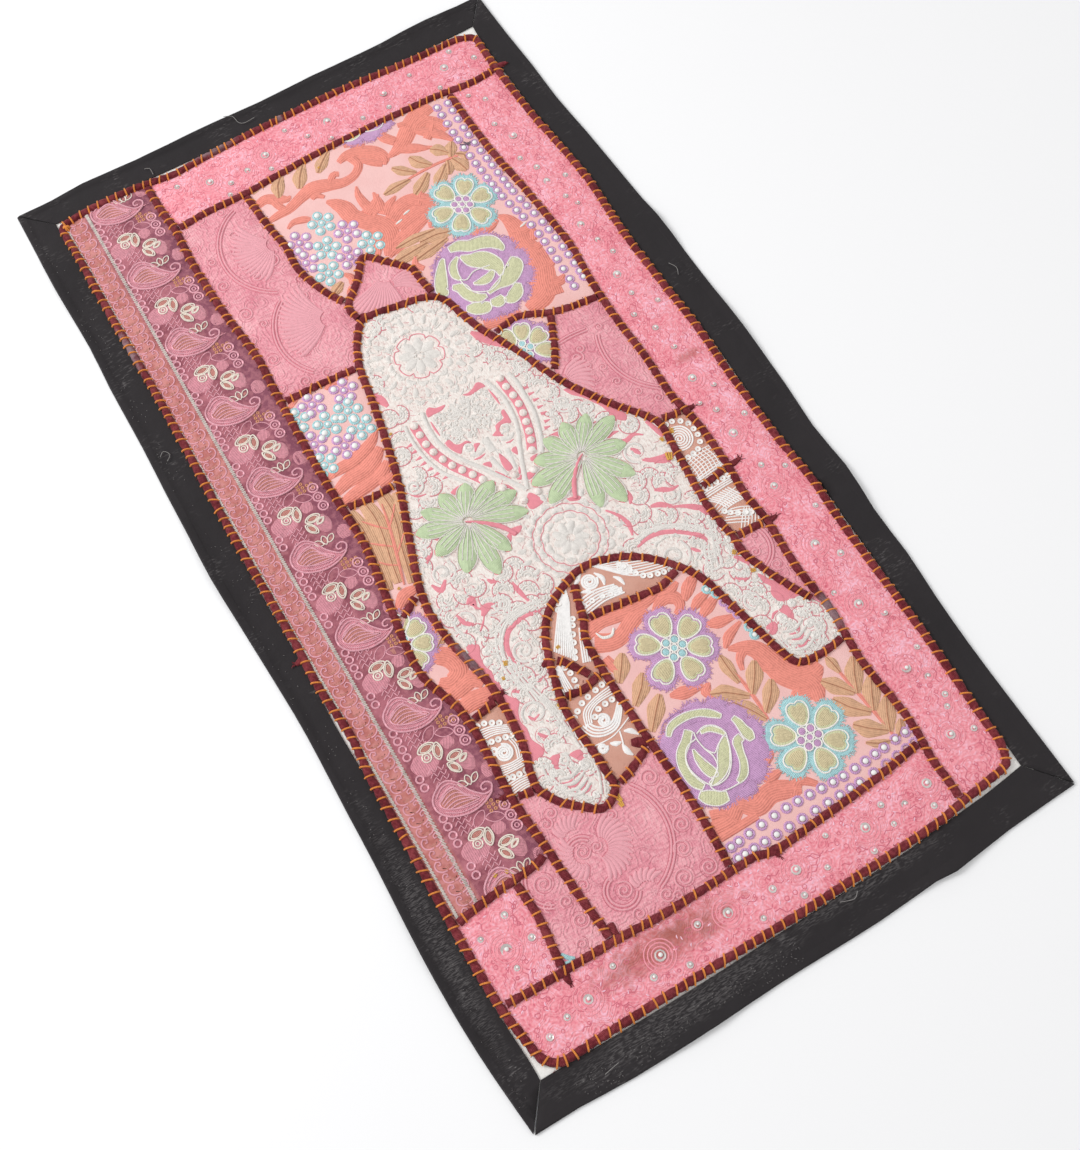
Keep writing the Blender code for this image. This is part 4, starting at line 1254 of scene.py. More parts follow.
tans += blades(
    [(-141, 44, 5), (-139, 22, 8.5), (-141, 0, 8.5), (-144, -24, 7), (-147, -42, 4)],
    [(-125, 44, 7), (-124, 24, 9), (-127, 4, 9), (-132, -18, 8), (-136, -40, 5)],
    [(-107, 43, 7), (-107, 26, 8.5), (-111, 8, 8), (-117, -10, 7), (-122, -30, 5), (-126, -46, 4)],
    [(-95, 40, 4), (-99, 24, 5), (-104, 10, 4)], leaf(-124, -100, -130, -106, -138, -112, 5),
)
corals += blades(
    [(-112, 36, 0.6), (-117, 12, 1.3), (-126, -20, 1.4), (-133, -44, 0.7)],
    [(-117, 12, 0.5), (-108, 22, 1.0), (-102, 30, 0.5)], [(-118, 10, 0.5), (-128, 20, 1.0), (-136, 30, 0.5)],
    [(-122, -8, 0.5), (-132, 0, 1.0), (-141, 8, 0.5)], [(-123, -14, 0.5), (-115, -6, 0.9), (-109, 0, 0.5)],
    [(-127, -26, 0.5), (-136, -20, 0.9), (-143, -12, 0.5)],
    lift=0.5,
)
outlined_flower(-164, -93, 33, (62, 20, -25, -70, 105), lilac_pads, aqua_pads, 5)
outlined_flower(84, 108, 34, (110, 66, 18, -28, 155), lilac_pads, aqua_pads, 5)

# The large patch at the foot.
corals += blades(
    [(-16, -166, 9), (0, -164, 8), (16, -166, 9), (34, -168, 9), (50, -168, 6), (62, -164, 3), (76, -163, 2)],
    [(-14, -180, 10), (-2, -186, 9), (10, -186, 8), (22, -180, 8), (32, -176, 8), (42, -176, 5)],
    [(46, -183, 2.5), (54, -177.5, 5), (64, -176, 7), (71, -182, 6.5), (69, -190, 4.5), (62, -193, 2)],
    leaf(76, -187, 87, -177, 101, -169, 6.5), leaf(76, -198, 88, -193, 103, -188, 5.5),
    leaf(79, -208, 92, -202, 106, -196, 6), leaf(79, -216, 92, -220, 108, -222, 6),
    leaf(82, -243, 92, -235, 108, -229, 5),
    [(84, -245, 2), (95, -250, 6), (105, -258, 9), (110, -272, 11), (115, -287, 14), (124, -300, 14),
     (130, -312, 11), (127, -326, 5)],
    [(122, -296, 10), (136, -300, 12), (146, -298, 5)], [(96, -252, 5), (88, -258, 4), (84, -268, 2)],
    [(112, -282, 8), (102, -276, 4), (100, -264, 1.5)], [(124, -314, 9), (112, -312, 6), (106, -320, 2)],
    [(-14, -196, 4), (-12, -208, 5), (-8, -216, 1.5)], [(58, -170, 4), (70, -172, 5), (80, -168, 2)],
    [(92, -170, 2), (84, -178, 5), (76, -186, 3)], [(-14, -292, 2), (-10, -284, 4), (-4, -282, 1.5)],
    [(58, -384, 6), (70, -376, 5), (82, -386, 3)], [(-12, -362, 5), (-2, -366, 4), (4, -378, 3)],
    leaf(16, -255, 29, -259, 46, -262, 6.5),
    leaf(52, -262, 45, -268, 50, -279, 5),
    [
        (-16, -372, 6), (0, -373, 8), (14, -366, 8), (26, -376, 9), (42, -372, 10), (56, -376, 9),
        (68, -382, 5),
    ],
    [(-16, -382, 4), (4, -382, 4), (22, -382, 4)], leaf(44, -360, 52, -361, 62, -360, 5.5),
    leaf(66, -342, 58, -346, 50, -352, 4),
    [(74, -250, 0.8), (78, -276, 1.6), (79, -300, 1.8), (78, -318, 1.2)],
    [(155, -290, 0.8), (158, -324, 1.6), (161, -350, 1.8), (164, -386, 1.4)],
)
whites.append(stroke([(-9, -172, 0.6), (-6, -179, 1.6), (2, -181, 1.6), (7, -176, 0.8)], lift=0.5))
tans += blades(
    leaf(1, -200, -7, -211, -16, -222, 8.5), leaf(7, -225, -2, -236, -15, -247, 8.5),
    leaf(9, -249, -2, -260, -15, -274, 8.5), leaf(74, -246, 74, -259, 75, -276, 6.5),
    leaf(98, -266, 90, -278, 79, -291, 8.5), leaf(47, -272, 60, -278, 76, -291, 8),
    leaf(101, -288, 93, -299, 80, -311, 8), leaf(60, -288, 69, -301, 77, -316, 7.5),
    leaf(155, -296, 156, -304, 157, -314, 5.5),
    leaf(138, -312, 147, -323, 157, -336, 8.5), leaf(137, -331, 146, -345, 159, -358, 9),
    leaf(139, -359, 149, -369, 162, -379, 9), leaf(176, -308, 167, -322, 159, -338, 9),
    leaf(179, -330, 170, -344, 162, -358, 9), leaf(179, -353, 170, -367, 163, -381, 9),
    leaf(178, -376, 173, -383, 166, -388, 5), leaf(139, -378, 148, -384, 160, -388, 4),
)
outlined_flower(43, -220, 39, (85, 25, -27, -82, -145, 142), lilac_pads, aqua_pads, 6)
outlined_flower(99.6, -349, 38, (80, 18, -37, -90, -155, 145), aqua_pads, lilac_pads, 6)
rose(22, -317, 48, 0, OPEN_ROSE_PETALS, OPEN_ROSE_BUD)
for x, y in ((99, -188), (104, -196), (112, -237), (112, -246)):
    aquas.append(ring(x, y, 3.6, 1.6, 9))
    pearls.append((x, y, 2.4))
for x, y in ((105, -206), (107, -214), (109, -222)):
    lilacs.append(ring(x, y, 3.0, 1.5, 9))
LOW_RING_ROWS = (
    ((-12, -393), (47, -389.5), (105, -392), (150, -389.5), (182, -387)),
    ((-12, -404), (114, -403.8), (182, -399)),
)
for bends in LOW_RING_ROWS:
    for x, y in smooth_line(bends, 11.4):
        lilacs.append(ring(x, y, 4.1, 1.3, 9))
        pearls.append((x, y, 2.8))

CORD_CLEAR = 4.5


def on_flower_patches(strokes):
    return [part for patch in FLOWER_PATCHES for part in trimmed(strokes, patch)]


def beads_on_patches(beads):
    return [
        (x, y, size) for x, y, size in beads
        if any(inside(outlines[f"patch_{patch}"], x, y) for patch in FLOWER_PATCHES)
        and seam_tree.find((x, y, 0))[2] > CORD_CLEAR
    ]


coral_thread = thread_dye_and_shade("coral_thread", dye(244, 150, 134), shade=0.87, relief=0.28)
tan_thread = thread_dye_and_shade("tan_thread", dye(228, 178, 142), shade=0.86, relief=0.28)
aqua_thread = thread_dye_and_shade("aqua_thread", dye(186, 232, 236), shade=0.86, relief=0.45)
lilac_thread = thread_dye_and_shade("lilac_thread", dye(222, 172, 218), shade=0.86, relief=0.45)
lime_thread = thread_dye_and_shade("lime_thread", dye(230, 230, 186), shade=0.88, relief=0.45)
fawn_thread = thread_dye_and_shade("fawn_thread", dye(230, 214, 172), shade=0.88, relief=0.45)
outline_thread = thread_dye_and_shade("outline_thread", dye(250, 246, 240), shade=0.9)
aqua_scrap = blades(
    [(-181, -394, 1.5), (-178, -399, 2.2), (-173, -402.5, 1.4)], [(-182, -402, 1.5), (-176, -403, 1.4)],
)
laid("aqua_scrap", trimmed(aqua_scrap, "corner_pale"), aqua_thread, "coral_cloth", loft=1.1)
DARK_ENDS = ((151, 348, 5, -3), (154, 345, 6, 1), (156, 349, 3, -5), (158, 343, 4, 3))
dark_tuft = [stroke([(x, y), (x + dx, y + dy)], 0.8, step=3, lift=1) for x, y, dx, dy in DARK_ENDS]
dark_thread = thread_dye_and_shade("dark_thread", dye(134, 112, 128), shade=0.8, relief=0.4)
laid("dark_tuft", trimmed(dark_tuft, "coral_top"), dark_thread, "coral_cloth", loft=1.2)
midrib_thread = thread_dye_and_shade("midrib_thread", dye(196, 138, 108), shade=0.86)
midribs = [([(x, y, 0.45, 0.9) for x, y, _, _ in line], False) for line, _ in tans]
laid("leaf_midribs", on_flower_patches(midribs), midrib_thread, "coral_cloth", loft=0.6)
for name, strokes, dyed_and_shaded, loft, pitch in (
    ("coral", corals, coral_thread, 0.65, 2.2), ("tan", tans, tan_thread, 0.75, 1.8),
):
    laid(
        f"{name}_stitches", on_flower_patches(strokes), dyed_and_shaded, "coral_cloth", profile=ROWS, loft=loft,
        pitch=pitch, lengthways=True,
    )
for name, pads, dyed_and_shaded, loft in (
    ("lilac", lilac_pads, lilac_thread, 1.0), ("aqua", aqua_pads, aqua_thread, 1.0),
    ("lime", lime_pads, lime_thread, 0.9),
    ("fawn", fawn_pads, fawn_thread, 0.7),
):
    kept = [shape for patch in FLOWER_PATCHES for shape in kept_on(pads, patch)]
    padded(f"{name}_pads", kept, dyed_and_shaded, loft=loft)
for name, strokes, dyed_and_shaded, loft in (
    ("aqua", aquas, aqua_thread, 1.2), ("lilac", lilacs, lilac_thread, 1.2),
    ("white_outline", whites, outline_thread, 0.9),
):
    laid(
        f"{name}_stitches", on_flower_patches(strokes), dyed_and_shaded, "coral_cloth", profile=SATIN, loft=loft,
        pitch=1.5,
    )
sewn_on("pearls", bead_model(), beads_on_patches(pearls), bead_white, 0.8)

# The small sequined pieces are cut from a fawn georgette worked in white: rows of white sequins, curved lines
# of chain stitch, spirals, fans and a little net.
SEQUINED = (
    "sequin_left", "sequin_right_1", "sequin_right_2", "sequin_arch_left", "sequin_triangle",
    "sequin_arch_head",
    "sequin_arch_low",
)

fawn = Surface("sequin_ground", 0.7, sheen=0.1)
fawn_cloth = fawn.finish(
    fawn.mixed(fawn.noise(14), dye(218, 156, 136), dye(234, 182, 164)),
    height=fawn.bands("X", 0.7) * fawn.bands("Y", 0.7) + fawn.noise(6) * 0.6,
    depth=0.3,
)
for name in SEQUINED:
    patch_sheet(name, fawn_cloth)


def row(start, middle, end, count):
    """Places spread evenly along a bow."""
    line = smooth_line([start, middle, end], math.dist(start, end) / 40)
    return [line[round(i * (len(line) - 1) / (count - 1))] for i in range(count)]


def bows(first, last, count, half=0.8):
    """Lines of stitch spread evenly between a first bow and a last one."""
    return [
        stroke([
            tuple(a + (b - a) * i / (count - 1) for a, b in zip(p, q)) for p, q in zip(first, last)
        ], half)
        for i in range(count)
    ]


white_lines = {
    "sequin_left": [
        *bows([(-146, -196), (-134, -198), (-120, -204)], [(-146, -205), (-134, -206), (-120, -211)], 5),
        coil(-135, -224, 1, 8, 3.2, half=1.2), coil(-142, -219, 1, 4, 2, 120, half=1.0),
        *bows([(-126, -214), (-124, -224), (-127, -234)], [(-119, -214), (-118, -224), (-121, -234)], 4),
        *bows([(-146, -232), (-134, -235), (-120, -234)], [(-146, -241), (-134, -242), (-120, -242)], 5),
        *bows([(-146, -250), (-134, -250), (-120, -252)], [(-146, -266), (-134, -264), (-120, -266)], 8),
    ],
    "sequin_right_1": [
        coil(161, -48, 1, 13.5, 5, 90, half=0.95),
        *bows([(150, -24), (151, -42), (150, -60)], [(154, -26), (155, -42), (154, -62)], 3, 0.9),
        *bows([(148, -72), (166, -68), (184, -68)], [(148, -94), (166, -90), (184, -90)], 8, 0.6),
        *bows([(149, -70), (152, -82), (151, -94)], [(181, -68), (184, -80), (183, -92)], 9, 0.6),
        *bows([(148, -92), (166, -90), (184, -88)], [(148, -99), (166, -97), (184, -96)], 4, 0.9),
    ],
    "sequin_right_2": [
        *bows([(147, -107), (162, -106.5), (184, -106)], [(147, -112), (162, -111), (184, -110)], 3, 0.9),
        *bows([(148, -114), (156, -122), (160, -130)], [(172, -113), (176, -120), (182, -130)], 9, 0.9),
        *bows([(150, -124), (162, -120), (182, -116)], [(152, -132), (166, -130), (184, -130)], 4, 0.6),
        *bows([(148, -141), (158, -146), (170, -152)], [(162, -133), (172, -136), (184, -142)], 6, 0.7),
        *bows([(160, -154), (168, -144), (174, -138)], [(178, -156), (182, -150), (184, -144)], 6, 0.6),
    ],
    "sequin_arch_left": [
        *bows([(-8, -116), (-26, -136), (-50, -168)], [(-14, -134), (-26, -156), (-38, -184)], 10, 0.95),
        *bows([(-19, -160), (-26, -174), (-33, -190)], [(-14, -162), (-20, -176), (-27, -192)], 4, 0.95),
    ],
    "sequin_triangle": [
        *bows([(-53, -181), (-54, -196), (-54, -210)], [(-58, -181), (-63, -196), (-65, -210)], 6, 0.9),
    ],
    "sequin_arch_head": [
        coil(12, -127, 1, 8, 3, half=1.3), coil(46, -132, 1, 7, 3, half=1.0),
        coil(28, -146, 1, 5.5, 2, half=1.3),
        *bows([(-6, -138), (12, -137), (30, -141)], [(-6, -153), (14, -150), (34, -152)], 6, 1.1),
        *bows([(22, -116), (44, -120), (68, -132)], [(30, -124), (52, -144), (86, -152)], 8, 0.85),
        stroke([(-2, -124, 0.8), (4, -120, 2.6), (9, -116, 0.8)]),
        stroke([(20, -122, 0.8), (24, -130, 2.6), (22, -137, 0.8)]),
        stroke([(0, -132, 0.8), (5, -134, 2.2), (10, -138, 0.8)]),
        stroke([(33, -134, 0.8), (37, -139, 2.4), (38, -146, 0.8)]),
    ],
    "sequin_arch_low": [
        *bows(
            [(-62, -242), (-57, -229), (-44, -223), (-24, -220)],
            [(-56, -241), (-52, -233), (-42, -228), (-24, -227)], 4,
        ),
        *bows([(-67, -238), (-62, -250), (-51, -256), (-37, -254), (-23, -238)],
              [(-58, -240), (-55, -245), (-49, -249), (-39, -248), (-26, -236)], 4, 1.1),
        coil(-46, -244, 1, 6, 2.2, 40, half=1.4), stroke([(-66, -259), (-46, -260), (-24, -252)], 0.7),
        coil(-59.6, -264.5, 1, 4.5, 2, 0, half=1.6),
        stroke([(-52, -264, 0.8), (-48, -267, 2.8), (-43, -268, 0.8)]),
        stroke([(-43, -270, 0.8), (-43, -277, 3.2), (-40, -283, 0.8)]),
        stroke([(-36, -261, 0.8), (-30, -264, 3), (-26, -270, 0.8)]),
        stroke([(-39, -259), (-41, -266), (-43, -272)], 0.8),
    ],
}
white_sequins = {
    "sequin_left": (
        row((-143, -192), (-136, -193), (-125, -199), 4) + row((-144, -209), (-136, -211), (-122, -214), 5)
        + row((-144, -245), (-136, -247), (-122, -247), 5)
    ),
    "sequin_right_1": [
        (158.3, -29), (165, -29), (172, -33), (177, -39), (178.3, -46), (178.3, -53), (176, -60.5),
        (170, -66), (163.6, -68), (157.4, -68.6), (151, -68),
    ],
    "sequin_right_2": (
        row((153.5, -103.4), (166, -103), (179, -102.8), 5) + row((156, -132), (164, -139), (177, -145), 5)
    ),
    "sequin_arch_left": (
        [(-23, -131), (-26.6, -136), (-14, -122), (-18.5, -126.5)]
        + row((-20, -150), (-27, -162), (-37.3, -182.4), 6)
    ),
    "sequin_triangle": row((-50, -185.3), (-48, -194), (-49.6, -206.6), 4),
    "sequin_arch_head": (
        row((44, -126), (58, -148), (86, -156), 10) + row((-4, -145), (8, -144), (22, -147), 4)
    ),
    "sequin_arch_low": (
        row((-66.2, -229.3), (-52.6, -220.5), (-24, -214.5), 7)
        + row((-50.8, -237.4), (-45, -233), (-29.6, -231.5), 4)
    ),
}
white_thread = thread_dye_and_shade("white_thread", dye(255, 252, 250), shade=0.93, relief=0.15)
lines = [part for patch, drawn in white_lines.items() for part in trimmed(drawn, patch)]
laid("white_chain_stitches", lines, white_thread, "white_embroidery", loft=0.9)
gleam = Surface("white_sequins", 0.35)
white_gleam = gleam.finish(gleam.mixed(gleam.noise(8), dye(228, 224, 220), dye(252, 250, 247)))
small_sequins = [(x, y, 2.9) for spots in white_sequins.values() for x, y in spots]
sewn_on("white_sequins", sequin_model(), small_sequins, white_gleam, 0.9, tilt=0.12)

# The large middle piece is a yoke worked so closely in white cotton that its pink ground shows in slivers: a
# rosette at the top, a heart in a pointed frame with rows of knots, two green palm leaves, a carnation at the
# foot and thick scrolls in the shoulders and down both legs.
moss = Surface("white_stitching", 0.8, sheen=0.2)
strands = moss.noise(1.3, 3.0, stretch=(1, 2.2))
tufts = moss.noise(3.6, 2.0)
# The pink-grey dark end of the ramp, reached between strands and tufts, is painted shade.
moss_cloth = moss.finish(
    moss.ramp(
        strands * 0.6 + tufts * 0.35 + moss.noise(26) * 0.25,
        (0.42, dye(204, 172, 170)), (0.54, dye(232, 219, 212)), (0.74, dye(246, 240, 234)),
    ),
    height=strands * 0.7 + tufts * 0.6,
    depth=0.8,
)
patch_sheet("centre", moss_cloth)

# The bare ground, first what is wide enough to be drawn by its corners.
bare = [
    [(-114, -123), (-104, -128), (-108, -138), (-109, -149), (-106.5, -154.5), (-108, -163), (-106, -172),
     (-108, -178), (-115, -178), (-116, -156), (-118, -138)],
    [(-108, -178), (-104, -184), (-100, -191), (-105, -198.5), (-108, -207), (-106.5, -216), (-108, -226),
     (-104, -236), (-106, -243), (-120, -243), (-118, -214), (-114, -180)],
    [(-103, -248), (-94, -250), (-100, -257), (-101, -261), (-105, -258.6)],
    [(-87.5, -254), (-77, -255), (-77, -264), (-82, -264.5), (-86, -258.6)],
    [(-93, -91), (-87.5, -91), (-87, -98), (-80, -97), (-74, -99), (-75, -103), (-82, -106), (-86, -108),
     (-90, -113.5), (-98, -120), (-97, -117), (-89, -109), (-86, -103), (-89, -96)],
    [(147.7, -198), (151.6, -203), (154.5, -209), (161, -215), (167, -221), (172, -236), (150, -232),
     (146.7, -221), (150.6, -215), (146, -207)],
    [(124.5, -245), (135, -245), (132, -253.7), (125.5, -254.7)],
    [(143.8, -238), (152.5, -237), (153.5, -248), (149.6, -252), (147.7, -247.9)],
    [(-30, 99), (-25, 101.5), (-20, 97.5), (-10, 96), (-15.6, 92), (-25, 92), (-31.5, 92)],
    [(8, 97), (14, 96), (21, 98), (26.4, 101.5), (31, 99), (32.6, 93), (27.5, 93.6), (15, 92)],
    [
        (-31, 61), (-24, 62), (-24, 56.7), (-20, 53), (-12, 53), (-8.8, 48), (-15.6, 50), (-20, 46.5),
        (-23.5, 43), (-29, 51),
    ],
    [(-8, 46.5), (-2, 44), (-6.5, 41), (-12, 37), (-10, 42)],
    [(35, 63.5), (30, 61), (30, 55.6), (23, 54), (18.4, 52), (17, 47.6), (11, 45), (16, 41), (21, 39),
     (19.6, 45), (24, 50), (30, 49), (34.3, 47.6)],
    [(-12, 24), (-4, 22.7), (-5.4, 16), (-8.8, 19)], [(18.4, 22.7), (25, 24), (21.8, 15)],
    [(7, 26), (3.7, 14), (4.8, 5.7), (11, 5.7), (11, 16)], [(19.6, -4.5), (17, -12.5), (26.4, -9.7)],
    [(2.6, -33), (10.5, -23), (17.3, -33), (18, -38.5), (4.8, -40)], [(-52, 14), (-39.4, 16), (-47, 8)],
    [(56, 18), (68, 17), (65.5, 11), (60.4, 15)], [(29.8, 7), (39, 7), (29.8, 2)],
    [(37, -46), (50, -50), (47, -54), (38, -50)],
    [(-24, -46), (-12, -48), (-16, -53), (-24, -54)],
    [(94, 53), (98, 44), (104, 38), (108.5, 32), (112.5, 25), (116, 19), (118, 10), (119, 2), (128, -6),
     (132.5, 1), (127, 9), (121, 18.5), (115.5, 28), (109.5, 37.5), (104, 45.5), (98, 53)],
]
slivers = blades(
    [(50, 152, 2), (57, 142, 6), (66, 131, 6), (73, 121, 3)], [(-68, 142, 3), (-61, 132, 5), (-58, 122, 2)],
    [(-31.2, 87, 0.5), (-31.4, 78, 1.3), (-31, 70, 0.5)], [(33, 89, 0.5), (34, 80, 1.4), (34.5, 69, 0.5)],
    [(-16, 31.6, 0.5), (-10, 30.8, 1.3), (-4, 32, 0.5)],
    [(18.4, 31.6, 0.5), (22, 30.6, 1.1), (26.6, 31.4, 0.5)],
    [(-5, 11.6, 0.5), (-0.6, 4, 1.2), (3.8, -2.4, 0.6)], [(16.4, 4, 0.5), (14.6, 0, 1.3), (12.6, -4, 0.6)],
    [(8.2, -5.6, 0.5), (10.8, -7, 1.8), (13.6, -4, 0.5)], [(-7, -2.6, 0.8), (-3, -8.6, 2.2), (0.6, -14, 0.8)],
    [(-17, 6, 0.8), (-14, 3.4, 2), (-10.6, 0.8, 0.8)],
    [(-96, -30, 0.8), (-102, -33, 2), (-106, -38, 0.8)],
    [(-112, -57, 1), (-107, -66, 3.2), (-99, -59, 1.4)], [(-107, -94, 1), (-105, -103, 2.4), (-99, -110, 1)],
    [(-94, -90, 1.2), (-88, -87, 3.6), (-89, -98, 1)], [(-88, -106, 1), (-81, -101, 3.6), (-72, -101, 1)],
    [(-48, -92, 0.8), (-47, -103, 2.4), (-45, -113, 1)], [(-36, -61, 1), (-29, -54, 3), (-25, -49, 1)],
    [(62, -75, 1), (70, -86, 2), (73, -98, 2.6), (70, -109, 1)], [(90, -68, 1), (89, -76, 2.6), (85, -81, 1)],
    [(108, -20, 1), (117, -24, 2.8), (126, -22, 2), (134, -27, 0.8)],
    [(102, -14, 0.8), (110, -11, 2), (116, -12, 0.6)],
    [(116, -33, 1), (119, -38, 2.8), (121, -43, 1)],
    [(119, -49, 1), (128, -54, 3), (138, -56, 2.6), (144, -54, 1)],
    [(114, -102, 1), (126, -108, 2), (136, -115, 3.4), (144, -121, 2)],
    [(-66, -78, 1), (-64, -82, 2.4), (-60, -84, 0.8)],
    [(-85, -161, 1), (-85.3, -150, 2.2), (-82.5, -140, 2.6), (-76, -131.5, 2.6), (-66, -127.5, 2.4),
     (-54, -126, 2), (-40, -128, 1.2)],
    [(-105.8, -272.5, 0.5), (-100.7, -275, 1), (-88, -273, 0.5)],
    [(-105, -276, 0.5), (-97.7, -280.6, 1.1), (-87.5, -277, 0.5)],
    [(-104, -280.6, 0.5), (-96, -286.5, 1.2), (-86, -282, 0.5)],
    [(-95, -289.6, 0.5), (-90, -290, 1), (-85, -287, 0.5)],
    [(-101, -180, 0.8), (-97, -183, 1.8), (-94, -185, 0.6)],
    [(-101, -224, 1), (-98, -229, 2), (-94.5, -231, 0.7)],
    [(-79, -184, 0.4), (-74.6, -184.6, 0.7), (-70.6, -183, 0.4)],
    [(-100, -207, 0.8), (-97, -212, 1.5), (-91, -210, 0.6)],
    [(-106.5, -95, 1), (-104.4, -103, 2.2), (-98, -108.6, 0.8)],
    [(-49, -96, 1), (-47.5, -104, 2.2), (-44.5, -115, 1.4)],
    [(68, -121, 1.2), (80, -118.4, 2.2), (92, -119.5, 2.6), (104, -125, 2.4), (115, -133.5, 2.2),
     (123, -141, 2.8), (126.4, -148, 1.2)],
    [(100, -93, 1.6), (109, -96, 3.2), (118.7, -105, 1.2)],
    [(112, -80.6, 1.2), (119, -84, 3), (126, -88, 2), (134, -88, 1)],
    [(121.6, -48.7, 1), (130, -56, 3), (140, -60, 4), (147, -57, 3)],
    [(144, -16, 2), (148, -29, 3), (149, -38, 2)],
    [(136, -114, 1.4), (140, -121, 3), (144, -128, 2)], [(109, -147, 1), (112, -151, 2), (115, -154, 0.8)],
    [(126.4, -190, 0.8), (132, -196, 1.8), (138, -198.6, 1)],
    [(138, -174, 1.4), (143.8, -180, 3), (147, -187, 2)],
    [(134, -242, 1), (138, -238.6, 1.6), (143, -238, 1)],
    [(139, -261.5, 0.5), (144, -263.4, 1.1), (151.6, -259.5, 0.5)],
    [(138, -267, 0.5), (146, -270, 1.3), (153.5, -263.4, 0.5)],
    [(136, -275, 0.5), (146, -276.6, 1.3), (154.5, -269, 0.5)],
    [(-86, 34, 0.6), (-80, 26, 1.2), (-72, 24, 0.6)], [(-92, -14, 0.8), (-86, -20, 1.8), (-82, -28, 0.8)],
)
frame_left = [
    (-33.7, 99), (-36, 87), (-36.6, 76), (-36, 65), (-32, 50), (-24.6, 36), (-16.7, 24), (-6.5, 8), (2.6, -6),
    (10.5, -20),
]
frame_right = [
    (35.4, 99), (38.3, 87), (40.5, 76), (40.5, 65), (38.8, 51), (34.3, 36), (27.5, 22), (20.7, 6), (15, -9),
    (11, -20),
]
rail_left = [(-55, 95), (-56.4, 82), (-55.8, 65), (-53, 49), (-48.5, 36), (-40.5, 24), (-31.5, 11)]
rail_right = [(58, 95), (60.4, 82), (59.3, 65), (58, 46.5), (53.6, 31), (48, 16), (42, 6)]
knots = [
    (-47, 90.7), (-47, 80), (-46.8, 68.6), (-44.8, 58), (-41, 47), (-36.6, 37), (-31, 28), (-25, 19),
    (-19.5, 10), (-8, -7), (48.5, 93.6), (49, 83), (50, 71.5), (50, 61), (48.5, 50.5), (46.2, 41), (43.4, 31),
    (40, 22), (35.4, 12.5), (26.4, -5.6), (2.6, -28), (18, -26.6), (8.2, -0.5),
]
bare += [swelled([(x, y, 5) for x, y in side]) for side in (knots[:9], knots[10:19])]
framing = [stroke(frame_left, 2.6), stroke(frame_right, 2.6), stroke(rail_left, 2.2), stroke(rail_right, 2.6)]
# Thin pink lines and dashes of painted shade, where shade falls between the white stitches.
shade_lines = []
relief = [
    stroke([(-8, 92), (-3, 80), (1, 74), (6, 80), (11, 92)], 2.0), ring(-14.4, 45.4, 3.2, 2.0, 10),
    ring(25.2, 45.4, 3.2, 2.0, 10),
    stroke([(-17, 37.5, 1.4), (-10, 35, 2.6), (-2, 37.5, 2)]),
    stroke([(16, 37.5, 2), (24, 34.6, 2.6), (30, 37.5, 1.4)]),
    stroke([(3.7, 46), (3.7, 30)], 4.2), stroke([(-2, 26, 3), (2.6, 2.4, 2)]),
    stroke([(16, 26, 3), (12.6, 2.4, 2)]),
]
for x, y, out in (
    (-60.4, 75, -1), (-60, 67, -1), (-59.6, 59, -1), (-58.6, 52, -1), (-56, 44, -1), (-53.4, 36.6, -1),
    (-47.6, 29.5, -1), (64.9, 72.6, 1), (65.5, 64.6, 1), (66, 56.7, 1), (65.5, 48.2, 1), (64.9, 40.8, 1),
    (63.4, 32, 1), (60, 26, 1),
):
    slivers += [stroke([(x - 2.4 * out, y + 0.4, 2.0), (x, y, 1.5), (x + 3.6 * out, y - 0.2, 0.5)], step=2)]
SHELLS_TRIED = 240
for _ in range(SHELLS_TRIED):
    x, y = random.uniform(-29, 32), random.uniform(55, 93)
    if not any(inside(corners, x, y) for corners in bare):
        turn = random.uniform(0, 180)
        tuft_here = [stroke([(-3.4, -0.6, 0.6), (0, 0.6, 1.5), (3.4, -0.6, 0.6)], step=2.6, lift=0.1)]
        relief += placed(tuft_here, x, y, turn)


def lobes(x, y, inner, outer, half, count, start=0, bulge=0.0):
    """A ring of padded petals that lean a little round their middle."""
    made = []
    for i in range(count):
        petal = [
            (inner, 0, half * 0.5), ((inner + outer) / 2, bulge, half), (outer, bulge * 0.4, half * 0.45),
        ]
        made += placed([stroke(petal, step=2.6)], x, y, start + 360 * i / count)
    return made


def crescents(x, y, radius, half, count, start=0, spread=0.8):
    """A ring of padded petals that lie round their middle, each bulging outwards."""
    made = []
    for i in range(count):
        turn = math.radians(start + 360 * i / count)
        wide = math.pi * spread / count
        ends = [(*away(x, y, radius * 0.93, turn + t), half * 0.4) for t in (-wide, wide)]
        made.append(stroke([ends[0], (*away(x, y, radius, turn), half), ends[1]], step=2.4))
    return made


# The rosette at the top, the heart under it and the carnation at the foot.
relief += lobes(-5.5, 154.5, 5, 20, 5.6, 8, 22) + crescents(-5.5, 154.5, 4, 2.2, 5)
slivers += [stroke(put(scalloped(8, 24.5, 0.82, 22), -5.5, 154.5), 0.5, step=1.8, closed=True, lift=0.2)]
relief += crescents(-5.5, 154.5, 31, 3.4, 16) + lobes(-5.5, 154.5, 36, 46, 3.2, 22, 5, 1.5)
relief += crescents(-5.5, 154.5, 52, 3.0, 26, 6)
relief += lobes(20, -82, 4, 17, 4.6, 9, 10, 2) + crescents(20, -82, 23, 4.0, 12)
relief += crescents(20, -82, 31, 3.8, 15, 12)
relief += crescents(20, -82, 39, 3.6, 18) + lobes(20, -82, 43, 51, 3.2, 24, 0, 1.5)
for count, reach, deep in ((12, 27.4, 0.94), (15, 35.4, 0.95)):
    slivers += [stroke(put(scalloped(count, reach, deep), 20, -82), 0.4, step=2.4, closed=True, lift=0.2)]
